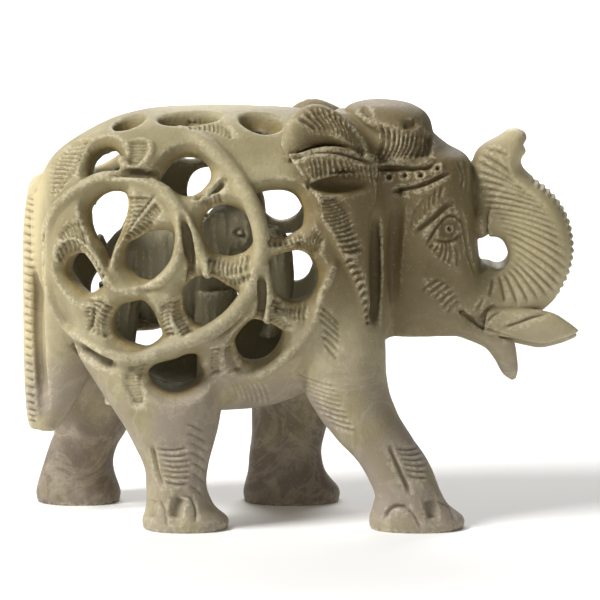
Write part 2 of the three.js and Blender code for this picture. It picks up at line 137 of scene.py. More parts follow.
# Stone between the face and the trunk above the loop, and the notch between the two lips of the trunk's tip
FACE_FRONT = ((40.6, 0, 67.2), (2.6, 5.5, 4.2))
TIP_NOTCH = ((51.8, 0, 84.2), (1.9, 8, 1.3))

# Ear rolls from the rear: upper x and z, lower x and z, half depth, distance from the middle
EAR_FOLD = [
    [-4.4, 87, -2.8, 84.5, 0.8, 19], [-3.3, 91.4, -0.1, 84.7, 2.6, 18], [-0.1, 94.6, 3.3, 86.1, 3.4, 16.5],
    [3.9, 95.5, 6.6, 86.3, 3.6, 15.5], [8.9, 93.4, 10, 85.6, 3.4, 15.5],
     [12.7, 90.4, 13.4, 84.3, 2.6, 15.2],
    [15, 85.9, 15.9, 83.6, 0.9, 15],
]
EAR_BAND = [
    [-2.8, 85.2, -0.1, 80.6, 1.2, 21.2], [-0.1, 85.4, 3, 76.8, 2.2, 21.4],
     [3.3, 86.4, 4.8, 79.1, 2.6, 20.6],
    [7.8, 86.6, 8.4, 80.9, 2.6, 19.6], [12.3, 85.5, 12.7, 80.7, 2.4, 17.8],
     [17.2, 83.9, 17.2, 79.5, 1.2, 15.2],
]
# Ear flap from root to tip: height, rear x and y, front x and y, half thickness
EAR_FLAP = [
    [81, 1.5, 22.4, 17, 15.4, 2.2], [74, 3, 24, 16.6, 16, 2.3], [66, 7.2, 23.6, 16, 17, 2.2],
    [57, 11.4, 21.4, 15.6, 17.2, 2], [50, 13.4, 19.2, 15.8, 16.8, 1.7], [44, 14, 17.2, 15.4, 16, 1.3],
    [39.5, 13.6, 15.6, 14.2, 15, 0.6],
]
# Deep hollows round the ear: centre, half sizes
EAR_CUTS = [
    ((10.6, 22.6, 78.2), (8.4, 5.6, 2.1)), ((16.8, 18.6, 60), (1.5, 4.8, 13)),
    ((20.6, 16.6, 63.4), (1.8, 4.6, 9.5)),
]

# Headdress from band to crown: height, centre x, half length, half width
BUN = [
    [80.4, 22.2, 7.2, 12.4], [82.3, 22.2, 7.7, 13], [86, 22.2, 7.7, 12.6], [88.2, 21.8, 7.8, 11.6],
    [90.2, 20.2, 8.8, 10.6], [92.2, 18.6, 8.6, 8.6], [93.6, 18, 6, 6], [94.2, 18, 2, 2],
]

# Tail: height, distance of its rear edge from the rear end, depth, half width
TAIL = [[77.5, 3.6, 3, 1.2], [74, 1.2, 5, 2.6], [60, 0, 5.5, 2.8], [24, 0.6, 6, 2.6], [19.5, 3.4, 4, 1.4]]
# Stone under the tail: height, centre x, half length, half width
RUMP = [[19, -57, 2, 1.5], [26, -55, 4.5, 4], [34, -53, 6.5, 6.5], [44, -51.5, 8.2, 9], [58, -50, 9, 10]]

# Calf in the hollow
CALF = ((-29, 0, 56), (16, 9.6, 13))
CALF_HEAD = ((-14.5, -3, 65), (7.2, 7, 7))
CALF_EAR = ((-18.5, -8.4, 64.5), (4, 1.8, 5.5))
CALF_LEGS = [(-41, 5), (-40.5, -5), (-20, 5), (-20, -5)]
CALF_TRUNK = [[-10, 66, 5], [-5.6, 62, 3.6], [-4.4, 54, 2.9], [-5.2, 46, 2.4], [-7.6, 41, 1.9]]
CALF_CUTS = [((-13.4, -10.2, 65.6), (1.7, 1.4, 1.2)), ((-12.6, -9.6, 61.4), (2.8, 1.3, 0.7))]
CALF_EYE = ((-13.4, -9.5, 65.6), (0.8, 0.8, 0.7))
# Calf's leg from the floor of the hollow: height, half thickness
CALF_LEG = [[26, 3.6], [36, 3.2], [44, 3.8], [52, 4.6]]

# Openings in the near flank, as outlines on the front view
NEAR_OPENINGS = [
    [(84, 163), (88, 150), (97, 142), (108, 141), (116, 148), (118, 158), (113, 167), (103, 173),
     (93, 177), (86, 174)],
    [(86, 205), (97, 194), (110, 190), (121, 193), (124, 203), (122, 217), (116, 234), (110, 247),
     (105, 260),
     (98, 246), (92, 237), (87, 226), (85, 214)],
    [(126, 246), (135, 240), (146, 234), (157, 232), (168, 233), (173, 240), (173, 255), (170, 266),
     (163, 275),
     (155, 280), (146, 282), (137, 279), (129, 272), (124, 262)],
    [(59, 275), (61, 264), (69, 257), (78, 257), (86, 262), (92, 270), (96, 281), (96, 289), (90, 293),
     (81, 298),
     (74, 294), (66, 287)],
    [(111, 325), (113, 316), (120, 308), (131, 305), (140, 304), (147, 310), (152, 318), (156, 328),
     (159, 338),
     (153, 346), (143, 352), (134, 351), (124, 347), (116, 341), (112, 333)],
    [(202, 221), (207, 212), (214, 207), (224, 205), (235, 207), (244, 213), (251, 222), (254, 233),
     (253, 243),
     (248, 250), (241, 254), (230, 256), (218, 254), (209, 247), (203, 237)],
    [(159, 178), (163, 167), (170, 158), (178, 152), (188, 150), (199, 152), (206, 158), (210, 166),
     (209, 175),
     (205, 181), (199, 187), (190, 191), (180, 190), (170, 184)],
    [(256, 194), (264, 190), (275, 188), (286, 188), (295, 191), (301, 197), (305, 207), (306, 216),
     (303, 226),
     (290, 234), (284, 237), (275, 236), (268, 232), (262, 225), (258, 215)],
    [(271, 264), (278, 258), (288, 255), (300, 253), (310, 257), (317, 266), (320, 277), (319, 290),
     (313, 299),
     (304, 304), (293, 304), (283, 300), (275, 290), (272, 277)],
    [(183, 295), (187, 287), (194, 281), (203, 279), (214, 281), (224, 287), (233, 292), (238, 298),
     (238, 306),
     (235, 315), (229, 322), (220, 328), (210, 330), (199, 328), (190, 322), (184, 313)],
    [(150, 374), (156, 367), (166, 364), (177, 361), (186, 357), (194, 356), (199, 358), (201, 366),
     (205, 374),
     (203, 381), (196, 388), (186, 394), (174, 396), (162, 391), (154, 384)],
    [(236, 348), (240, 338), (247, 330), (254, 325), (262, 326), (271, 329), (279, 334), (284, 338),
     (283, 346),
     (279, 355), (272, 363), (263, 368), (252, 369), (243, 366), (238, 358)],
]
# Openings in the plainer far flank: centre x and z, half length, half width, turn in degrees, taper
FAR_OPENINGS = [
    [-44.9, 81.4, 4.9, 2.6, 38, 0.2], [-43.8, 66.6, 8, 3.8, 85, 0.45], [-34, 60.7, 6.2, 5, 46, -0.2],
    [-50.4, 63.6, 4.7, 4, 96, 0.2], [-43.8, 48.6, 5.3, 5.7, 17, 0.2], [-20.4, 71.6, 5.7, 5.6, 60, 0.1],
    [-25.7, 83.8, 5.3, 4.1, 0, 0.15], [-4.8, 70.1, 5.9, 5, -36, 0.2], [-0.9, 55.7, 5.5, 5.6, 41, -0.15],
    [-19.9, 53.3, 6.2, 5.8, 13, -0.2], [-34.3, 37.2, 6.6, 4.6, 8, 0.2], [-9.2, 47.4, 5.4, 5.2, -40, 0.1],
]
# Openings in the back beside the spine: centre x and y, half length, half width, turn
BACK_OPENINGS = [[-38.4, 7, 3.4, 3.4, 0], [-24.8, 8.6, 7, 3, -4], [-8.7, 10, 5, 3.8, 20]]

# Vine ribs on the front view: half width at the start and end in mm, height in mm, path
RIBS = [
    (1.5, 1.3, 1.9, [(48, 262), (46, 240), (50, 222), (57, 208), (68, 197), (80, 188), (92, 181),
     (105, 177),
                     (120, 177), (138, 180), (152, 184), (164, 191), (173, 202), (179, 215), (181, 230),
                      (180, 246),
                     (176, 262), (168, 274), (157, 283), (143, 288)]),
    (1.5, 1.2, 1.7, [(160, 188), (172, 200), (184, 216), (194, 236), (202, 255), (208, 270), (204, 277)]),
    (2.1, 1.4, 2.0, [(178, 128), (196, 136), (212, 149), (226, 163), (238, 179), (248, 196), (256, 214),
     (261, 234),
                     (261, 252), (257, 270), (251, 288), (242, 304), (230, 318), (214, 330), (196, 339),
                      (176, 345),
                     (156, 353), (136, 359), (116, 357), (98, 349), (82, 338), (68, 326), (58, 310),
                      (51, 292),
                     (46, 272), (43, 252)]),
    (1.2, 1.0, 1.5, [(263, 262), (266, 280), (269, 298), (269, 314), (267, 324)]),
    (1.1, 1.0, 1.3, [(335, 260), (331, 275), (322, 297), (319, 309), (312, 325), (300, 342), (285, 358),
     (268, 371),
                     (250, 377)]),
    (1.1, 1.0, 1.4, [(119, 157), (126, 165), (138, 166), (147, 160), (151, 150), (148, 141)]),
    (1.2, 1.2, 1.5, [(57, 262), (57, 250), (63, 241), (74, 239), (86, 247), (96, 260), (108, 281),
     (118, 289),
                     (132, 291), (142, 288)]),
]
# Depth in mm that a rib's middle lies under the skin
RIB_SEAT = 0.5
# Half width and height in mm of the far ring
FAR_RIB_HALF, FAR_RIB_HEIGHT = 1.5, 1.7
# The one vine ring of the far flank, as a path of x and z
FAR_RIB = [
    (-25.5, 89), (-18.5, 85), (-13.5, 75.5), (-9.5, 67.5), (-10.5, 56), (-19.5, 45.5), (-33, 40),
     (-45, 40.5),
    (-53, 48), (-56, 57),
]


def spread(rows, count, closed=False):
    """Rows of a table drawn through by a smooth curve and read off again at an even count of places."""
    rows = np.asarray(rows, float)
    total = len(rows)
    if closed:
        places = np.arange(count) / count * total
    else:
        places = np.linspace(0, total - 1, count)
    start = np.floor(places).astype(int)
    if not closed:
        start = np.minimum(start, total - 2)
    t = (places - start)[:, None]

    def row(step):
        index = start + step
        return rows[index % total] if closed else rows[np.clip(index, 0, total - 1)]

    before, a, b, after = row(-1), row(0), row(1), row(2)
    return 0.5 * (2 * a + (b - before) * t + (2 * before - 5 * a + 4 * b - after) * t ** 2
                  + (3 * a - before - 3 * b + after) * t ** 3)


def station(rows, value):
    """Columns of a table at values of its first column, smoothly between its rows."""
    rows = np.asarray(rows, float)
    value = np.asarray(value, float)
    start = np.clip(np.searchsorted(rows[:, 0], value) - 1, 0, len(rows) - 2)
    a, b = rows[start], rows[start + 1]
    before, after = rows[np.maximum(start - 1, 0)], rows[np.minimum(start + 2, len(rows) - 1)]
    gap = (b[..., :1] - a[..., :1])
    t = np.clip((value[..., None] - a[..., :1]) / gap, 0, 1)
    slope_a = (b - before) / (b[..., :1] - before[..., :1]) * gap
    slope_b = (after - a) / (after[..., :1] - a[..., :1]) * gap
    rise = b - a
    square, cube = 3 * rise - 2 * slope_a - slope_b, slope_a + slope_b - 2 * rise
    return a + t * slope_a + t ** 2 * square + t ** 3 * cube


def oval(centre, across, up, half_across, half_up, count=48, power=2.0):
    """Ring of points, from round (power 2) towards square (a higher power)."""
    angle = np.arange(count) / count * 2 * math.pi
    c, s = np.cos(angle), np.sin(angle)
    u = np.sign(c) * np.abs(c) ** (2 / power) * half_across
    v = np.sign(s) * np.abs(s) ** (2 / power) * half_up
    centre, across, up = (np.asarray(row, float) for row in (centre, across, up))
    return centre + u[:, None] * across + v[:, None] * up


def loft(rings):
    """Closed skin over a row of rings: its points, quads and end triangles."""
    rings = np.asarray(rings)
    rows, count = rings.shape[:2]
    points = np.concatenate([rings.reshape(-1, 3), rings[0].mean(0)[None], rings[-1].mean(0)[None]])
    here = np.arange(count)
    following = (here + 1) % count
    low = (np.arange(rows - 1) * count)[:, None]
    corners = (low + here, low + following, low + count + following, low + count + here)
    quads = np.stack(np.broadcast_arrays(*corners), -1)
    end = (rows - 1) * count
    first, last = rows * count, rows * count + 1
    caps = np.concatenate([
        np.stack([np.full(count, first), following, here], -1),
        np.stack([np.full(count, last), end + here, end + following], -1),
    ])
    return points, quads.reshape(-1, 4), caps


def ball(centre, half, count=48):
    """Skin of an egg-shaped lump."""
    turn = np.linspace(-0.5, 0.5, 25) * math.pi * 0.995
    rings = [
        oval(np.add(centre, (0, 0, half[2] * math.sin(a))), ALONG, ACROSS, half[0] * math.cos(a),
             half[1] * math.cos(a), count)
        for a in turn
    ]
    return loft(rings)


def soft_min(a, b, blend):
    """Smaller of two distances, with the corner between them filled over the blend."""
    mix = np.clip(0.5 + 0.5 * (b - a) / blend, 0, 1)
    return b + (a - b) * mix - blend * mix * (1 - mix)


class Block:
    """The stone block as signed distances on a grid of small cells, below zero inside the stone."""

    def __init__(self, low, high, cell):
        self.cell = cell
        self.first = np.floor(np.array(low) / cell).astype(int)
        size = np.ceil(np.array(high) / cell).astype(int) - self.first
        self.field = np.full(size, BAND * cell, np.float32)

    def distances(self, skin):
        """Distances from one closed skin, and the part of the grid that they lie in."""
        points, quads, caps = skin
        grid = openvdb.FloatGrid.createLevelSetFromPolygons(
            points.astype(np.float32), triangles=caps.astype(np.uint32), quads=quads.astype(np.uint32),
            transform=openvdb.createLinearTransform(voxelSize=self.cell), halfWidth=BAND)
        low = np.maximum(np.floor(points.min(0) / self.cell).astype(int) - BAND, self.first)
        last = self.first + self.field.shape
        high = np.minimum(np.ceil(points.max(0) / self.cell).astype(int) + BAND, last)
        values = np.empty(high - low, np.float32)
        grid.copyToArray(values, ijk=tuple(int(v) for v in low))
        return tuple(slice(a, b) for a, b in zip(low - self.first, high - self.first)), values

    def add(self, skin, blend):
        """Joins a form to the stone, with the corner filled over the blend."""
        place, values = self.distances(skin)
        self.field[place] = soft_min(self.field[place], values, blend)

    def cut(self, skin, blend):
        """Takes a form out of the stone, with the edge rounded over the blend."""
        place, values = self.distances(skin)
        self.field[place] = -soft_min(-self.field[place], values, blend)

    def read(self, field, points):
        """Distances of any field of this block at free points."""
        spot = points / self.cell - self.first
        base = np.clip(np.floor(spot).astype(int), 0, np.array(field.shape) - 2)
        t = (spot - base).astype(np.float32)
        total = np.zeros(len(points), np.float32)
        for corner in np.ndindex(2, 2, 2):
            weight = np.prod(np.where(corner, t, 1 - t), axis=1)
            i, j, k = (base + corner).T
            total += weight * field[i, j, k]
        return total

    def surface(self):
        """Skin of the finished stone: points in mm and quads."""
        grid = openvdb.FloatGrid(BAND * self.cell)
        grid.transform = openvdb.createLinearTransform(voxelSize=self.cell)
        grid.copyFromArray(self.field, ijk=tuple(int(v) for v in self.first))
        points, quads = grid.convertToQuads()
        return points.astype(np.float64), quads.astype(np.int64)


def flank(x, z, side):
    """Points on the plain body at x and z."""
    columns = station(BODY, x)
    top, under, half = columns[..., 1], columns[..., 2], columns[..., 3]
    rise = np.minimum(np.abs(2 * z - top - under) / (top - under), 0.995)
    return np.stack([x, side * half * (1 - rise ** BODY_POWER) ** (1 / BODY_POWER), z], -1)


def drawn(points, side=-1):
    """Where points of the stone fall on the front view, or on its mirror image for the far side."""
    across = points[:, 0] - VIEW_AIM[0]
    back = points[:, 1] * -side - VIEW_AIM[1]
    rise = points[:, 2] - VIEW_AIM[2]
    depth = VIEW_DISTANCE + back * math.cos(VIEW_TILT) - rise * math.sin(VIEW_TILT)
    scale = VIEW_DISTANCE / depth / UNIT
    up = back * math.sin(VIEW_TILT) + rise * math.cos(VIEW_TILT)
    return np.stack([VIEW_MIDDLE + across * scale, VIEW_MIDDLE - up * scale], -1)


def seen(block, field, path, side=-1):
    """Where a path of the front view, or of its mirror image on the far side, falls on a field's skin.

    The directions out of the skin come with the points.
    """
    flat = (np.asarray(path, float) - VIEW_MIDDLE) * UNIT / VIEW_DISTANCE
    ahead = np.array([0, math.cos(VIEW_TILT), -math.sin(VIEW_TILT)])
    up = np.array([0, math.sin(VIEW_TILT), math.cos(VIEW_TILT)])
    ray = ahead + flat[:, :1] * ALONG - flat[:, 1:] * up
    depth = VIEW_DISTANCE + np.arange(*SIGHT)
    spots = (VIEW_AIM - ahead * VIEW_DISTANCE + ray[:, None] * depth[:, None]) * (1, -side, 1)
    values = block.read(field, spots.reshape(-1, 3)).reshape(spots.shape[:2])
    first = np.where((values < 0).any(1), (values < 0).argmax(1), values.argmin(1))
    points = spots[np.arange(len(flat)), first]
    steps = np.eye(3) * SLOPE_STEP
    rises = [block.read(field, points + step) - block.read(field, points - step) for step in steps]
    out = np.stack(rises, -1)
    return points, out / np.linalg.norm(out, axis=1, keepdims=True)


def body_skin(inset=0.0):
    """Skin of the plain body, or of the hollow inside its wall."""
    if inset:
        reach = np.sin(np.linspace(-0.5, 0.5, 60) * math.pi) * 0.99
        x = np.mean(HOLLOW_ENDS) + reach * (HOLLOW_ENDS[1] - HOLLOW_ENDS[0]) / 2
        squeeze = (1 - reach ** 6) ** 0.5
    else:
        x = np.linspace(BODY[0][0], BODY[-1][0], 90)
        squeeze = np.ones(len(x))
    rings = []
    for (at, top, under, half), share in zip(station(BODY, x), squeeze):
        rings.append(oval((at, 0, (top + under) / 2), (0, 1, 0), (0, 0, 1), (half - inset) * share,
                          ((top - under) / 2 - inset) * share, 96, BODY_POWER))
    return loft(rings)


def leg_skin(rows, side):
    """Skin of a leg from its sole to the hip."""
    rows = spread(rows, 60)
    return loft([oval((x, side * y, z), ALONG, ACROSS, hx, hy, 48, 2.3) for z, x, y, hx, hy in rows])


def upright_skin(rows, power, count=60):
    """Skin of a form described by height, centre x, half length and half width."""
    rows = spread(rows, count)
    return loft([oval((x, 0, z), ALONG, ACROSS, hx, hy, 64, power) for z, x, hx, hy in rows])


def bar_skin(rows, side, y, power, drop=0.0):
    """Skin of a bar that stands between an upper and a lower edge line."""
    rings = []
    for row in spread(rows, 60):
        upper, lower = np.array([row[0], 0, row[1]]), np.array([row[2], 0, row[3]])
        at = row[5] if len(row) > 5 else y
        edge = (upper - lower) / 2
        reach = np.linalg.norm(edge)
        centre = (upper + lower) / 2 + (0, side * at, -drop)
        rings.append(oval(centre, (0, 1, 0), edge / reach, row[4], reach, 40, power))
    return loft(rings)


def trunk_skin():
    """Curled part of the trunk: sections that swing round the loop."""
    inner = LOOP["radius"] - 1
    outer = LOOP["reach"]
    rings = []
    for turn in np.linspace(FAN["from"], FAN["to"], 120):
        flat = oval(((inner + outer) / 2, 0, 0), ALONG, ACROSS, (outer - inner) / 2, FAN["half"], 48, 2.6)
        angle = np.radians(turn + FAN["sweep"] * (0.5 - flat[:, 0] / outer))
        rings.append(np.stack([LOOP["x"] + flat[:, 0] * np.cos(angle), flat[:, 1],
                               LOOP["z"] + flat[:, 0] * np.sin(angle)], -1))
    return loft(rings)


def trunk_top_skin():
    """Upper part of the trunk, from the curl to the tip."""
    rings = []
    for inner_x, inner_z, outer_x, outer_z, half in spread(TRUNK_TOP, 60):
        edge = np.array([(outer_x - inner_x) / 2, 0, (outer_z - inner_z) / 2])
        reach = np.linalg.norm(edge)
        middle = ((outer_x + inner_x) / 2, 0, (outer_z + inner_z) / 2)
        rings.append(oval(middle, edge / reach, ACROSS, reach, half, 40, 2.6))
    return loft(rings)


def flap_skin(side):
    """Skin of the hanging ear flap."""
    rings = []
    for z, rear_x, rear_y, front_x, front_y, half in spread(EAR_FLAP, 60):
        run = np.array([(front_x - rear_x) / 2, side * (front_y - rear_y) / 2, 0])
        reach = np.linalg.norm(run)
        along = run / reach
        centre = ((front_x + rear_x) / 2, side * (front_y + rear_y) / 2, z)
        rings.append(oval(centre, along, np.cross(along, (0, 0, 1)), reach, half, 40, 2.6))
    return loft(rings)


def rib_skin(base, up, half, height):
    """Skin of a rounded vine rib that follows points of a flank."""
    for _ in range(3):
        for rows in (base, up):
            rows[1:-1] = (rows[:-2] + 2 * rows[1:-1] + rows[2:]) / 4
    along = np.gradient(base, axis=0)
    across = np.cross(along, up)
    across /= np.linalg.norm(across, axis=1, keepdims=True)
    taper = np.minimum(1, 0.35 + 3 * np.sin(np.linspace(0, math.pi, len(base))))
    rows = zip(base, up, across, half, taper)
    return loft([oval(b - u * RIB_SEAT, a, u, w * t, height * t, 20, 2.2) for b, u, a, w, t in rows])


# Each opening is a funnel: depths below the skin, and sizes there against the drawn outline
HOLE_DEPTHS, HOLE_SCALES = (-4, -0.2, 0.9, 1.9, 2.7, 5, 14), (1.8, 1.5, 1.3, 1.12, 1.02, 0.97, 0.94)
BACK_DEPTHS, BACK_SCALES = (-6, 0, 3, 12), (1.2, 1.0, 0.95, 0.9)
# Depth in mm of a back opening's rim under the top line
BACK_SINK = 1.5
# Hole in the curl: its half sizes against the radius, how far it sits low, its lean, and the cutter's half width
HOLE_LONG, HOLE_HIGH, HOLE_DROP, HOLE_LEAN, HOLE_REACH = 0.86, 1.12, 0.9, math.pi / 5, 15


def funnel_skin(outline, middle, inward, depths, scales):
    """Skin of a cutter: one outline carried inwards through the stone and scaled at each depth."""
    return loft([middle + (outline - middle) * s + inward * d for d, s in zip(depths, scales)])


def egg(x, z, half_length, half_width, turn, taper, count=48):
    """Egg-shaped outline, wider at one end by its taper."""
    angle = np.arange(count) / count * 2 * math.pi
    u = half_length * np.cos(angle)
    v = half_width * np.sin(angle) * (1 + taper * np.cos(angle))
    c, s = math.cos(math.radians(turn)), math.sin(math.radians(turn))
    return x + u * c - v * s, z + u * s + v * c


def flank_cutter(edge, out):
    """Cutter of one opening in a flank, square to the skin round it."""
    inward = -out.mean(0) / np.linalg.norm(out.mean(0))
    return funnel_skin(edge, edge.mean(0), inward, HOLE_DEPTHS, HOLE_SCALES)


def back_cutter(row, side):
    """Cutter of one opening in the back."""
    x, y = egg(row[0], side * row[1], row[2], row[3], side * row[4], 0)
    top = station(BODY, x)[:, 1]
    edge = np.stack([x, y, np.full(len(x), top.mean() - BACK_SINK)], -1)
    return funnel_skin(edge, edge.mean(0), np.array([0, 0, -1.0]), BACK_DEPTHS, BACK_SCALES)


def loop_cutter():
    """Cutter of the tilted oval hole that the trunk curls round."""
    angle = np.arange(40) / 40 * 2 * math.pi
    u, v = LOOP["radius"] * HOLE_LONG * np.cos(angle), LOOP["radius"] * HOLE_HIGH * np.sin(angle)
    c, s = math.cos(HOLE_LEAN), math.sin(HOLE_LEAN)
    x, z = LOOP["x"] + u * c - v * s, LOOP["z"] - HOLE_DROP + u * s + v * c
    return loft([np.stack([x, np.full(40, y), z], -1) for y in (-HOLE_REACH, HOLE_REACH)])


def carve_block(cell):
    """Finished stone as a block, and its field before it was hollowed and pierced."""
    block = Block(BLOCK_LOW, BLOCK_HIGH, cell)
    block.add(body_skin(), 0.5)
    for rows, side in ((NEAR_HIND, -1), (NEAR_FRONT, -1), (FAR_HIND, 1), (FAR_FRONT, 1)):
        block.add(leg_skin(rows, side), 2.4)
    block.add(upright_skin(RUMP, 2), 2)
    bulk = block.field.copy()
    block.add(upright_skin(HEAD, 2.4), 1.6)
    block.add(ball(*MUZZLE), 2.0)
    block.add(bar_skin(LIP, 1, 0, 2.4), 1.2)
    block.add(trunk_skin(), 1.2)
    block.add(trunk_top_skin(), 1.0)
    block.add(upright_skin(BUN, 2), 0.5)
    block.add(loft([oval((REAR + inset + depth / 2, 0, z), ALONG, ACROSS, depth / 2, half, 40, 3)
                    for z, inset, depth, half in spread(TAIL, 60)]), 0.5)
    for side in (-1, 1):
        drop = FAR_DROP if side > 0 else 0
        block.add(flap_skin(side), 1.0)
        block.add(bar_skin(EAR_FOLD, side, 0, 2.2, drop), 0.5)
        block.add(bar_skin(EAR_BAND, side, 0, 2.2, drop), 0.4)
        block.add(bar_skin(TUSK, side, TUSK_Y, 2.2, drop), 0.4)
        for (x, y, z), half in EAR_CUTS:
            block.cut(ball((x, side * y, z), half), 1.6)
    block.add(ball(*FACE_FRONT), 1.0)
    block.cut(loop_cutter(), 0.8)
    block.cut(ball(*TIP_NOTCH), 0.6)
    whole = block.field.copy()
    block.cut(body_skin(WALL), 1.0)
    for outline in NEAR_OPENINGS:
        block.cut(flank_cutter(*seen(block, bulk, spread(outline, 64, closed=True))), 0.6)
    for row in FAR_OPENINGS:
        block.cut(flank_cutter(*seen(block, bulk, drawn(flank(*egg(*row), 1), 1), 1)), 0.6)
    for row in BACK_OPENINGS:
        for side in (-1, 1):
            block.cut(back_cutter(row, side), 1.2)
    for start, end, height, path in RIBS:
        base, up = seen(block, bulk, spread(path, len(path) * 8))
        block.add(rib_skin(base, up, np.linspace(start, end, len(base)), height), 0.9)
    x, z = spread(FAR_RIB, 90).T
    base, up = seen(block, bulk, drawn(flank(x, z, 1), 1), 1)
    block.add(rib_skin(base, up, np.full(len(base), FAR_RIB_HALF), FAR_RIB_HEIGHT), 0.9)
    block.add(ball(*CALF), 0.6)
    block.add(ball(*CALF_HEAD), 0.8)
    block.add(ball(*CALF_EAR), 0.5)
    rows = spread(CALF_LEG, 20)
    for x, y in CALF_LEGS:
        block.add(loft([oval((x, y, z), ALONG, ACROSS, half, half, 24) for z, half in rows]), 0.8)
    block.add(loft([oval((x, CALF_HEAD[0][1], z), ALONG, ACROSS, half, half, 24)
                    for x, z, half in spread(CALF_TRUNK, 40)]), 0.8)
    for centre, half in CALF_CUTS:
        block.cut(ball(centre, half), 0.5)
    block.add(ball(*CALF_EYE), 0.2)
    return block, whole


# Chisel strokes on the front view. Leaves: rail that the strokes start on, rail that they end on, count, bow
LEAVES = [
    ([(70, 145), (60, 155), (53, 166), (51, 180), (51, 193)], [(82, 141), (75, 155), (70, 167),
     (62, 180), (54, 193)],
     12, 0.1),
    ([(83, 141), (76, 156), (71, 168), (63, 181), (55, 193)], [(88, 140), (84, 152), (79, 165),
     (69, 177), (57, 193)],
     12, 0.1),
    ([(125, 198), (124, 214), (119, 232), (111, 248)], [(151, 198), (141, 212), (129, 228), (119, 243)],
     11, 0.08),
    ([(155, 203), (145, 214), (135, 226), (126, 238)], [(161, 212), (155, 222), (146, 233), (132, 242)],
     10, 0.1),
    ([(57, 255), (63, 243), (74, 240), (85, 247), (95, 260), (105, 277)],
     [(61, 263), (69, 256), (79, 256), (88, 262), (93, 270), (98, 281)], 13, 0.1),
    ([(58, 236), (66, 226), (78, 221)], [(62, 241), (74, 237), (88, 244)], 7, 0.1),
    ([(88, 299), (85, 309), (86, 320), (91, 331)], [(105, 304), (98, 314), (94, 324), (94, 333)], 8, 0.12),
    ([(106, 305), (99, 315), (96, 325), (96, 334)], [(115, 308), (109, 318), (107, 328), (110, 337)],
     8, -0.12),
    ([(160, 308), (158, 318), (160, 328), (164, 337)], [(175, 300), (172, 312), (171, 323), (175, 336)],
     8, 0.1),
    ([(176, 303), (174, 315), (177, 327), (183, 336)], [(182, 300), (183, 311), (187, 321), (194, 330)],
     9, 0.15),
    ([(211, 256), (220, 259), (230, 260), (240, 258), (250, 253)],
     [(209, 270), (218, 276), (228, 277), (238, 275), (248, 271)], 9, -0.14),
    ([(210, 272), (219, 278), (229, 280), (240, 278), (250, 273)],
     [(213, 278), (221, 284), (230, 288), (239, 285), (247, 280)], 9, 0.1),
    ([(268, 238), (276, 240), (285, 240), (294, 236), (300, 232)],
     [(270, 246), (279, 249), (289, 249), (297, 247), (302, 243)], 7, -0.1),
    ([(302, 233), (308, 231), (314, 231), (320, 234), (324, 239)],
     [(299, 253), (305, 256), (311, 256), (316, 254), (320, 249)], 7, -0.2),
    ([(279, 252), (289, 250), (299, 248)], [(281, 258), (291, 255), (300, 253)], 6, 0.1),
    ([(274, 300), (270, 309), (269, 318), (273, 326), (280, 331)],
     [(280, 301), (279, 310), (281, 317), (287, 323), (293, 327)], 9, 0.16),
    ([(279, 303), (286, 306), (296, 306), (307, 303)], [(277, 313), (285, 318), (295, 321), (306, 322)],
     8, -0.14),
    ([(210, 351), (208, 359), (207, 367), (210, 374)], [(221, 349), (219, 358), (219, 366), (221, 373)],
     7, 0.1),
    ([(226, 350), (225, 358), (226, 366), (229, 373)], [(234, 346), (235, 354), (237, 362), (241, 369)],
     8, 0.14),
    ([(128, 368), (124, 376), (124, 386), (129, 395), (133, 403)],
     [(149, 364), (145, 374), (143, 384), (143, 393), (143, 403)], 11, -0.12),
    ([(130, 142), (129, 150), (130, 157), (128, 164)], [(147, 142), (146, 150), (142, 158), (137, 165)],
     8, 0.1),
    ([(196, 190), (202, 194), (210, 196), (218, 193)], [(197, 198), (203, 203), (211, 207), (222, 205)],
     8, 0.1),
    ([(188, 122), (200, 123), (212, 124), (222, 124), (229, 129)],
     [(190, 128), (200, 129), (212, 131), (222, 134), (231, 138)], 10, 0.2),
]
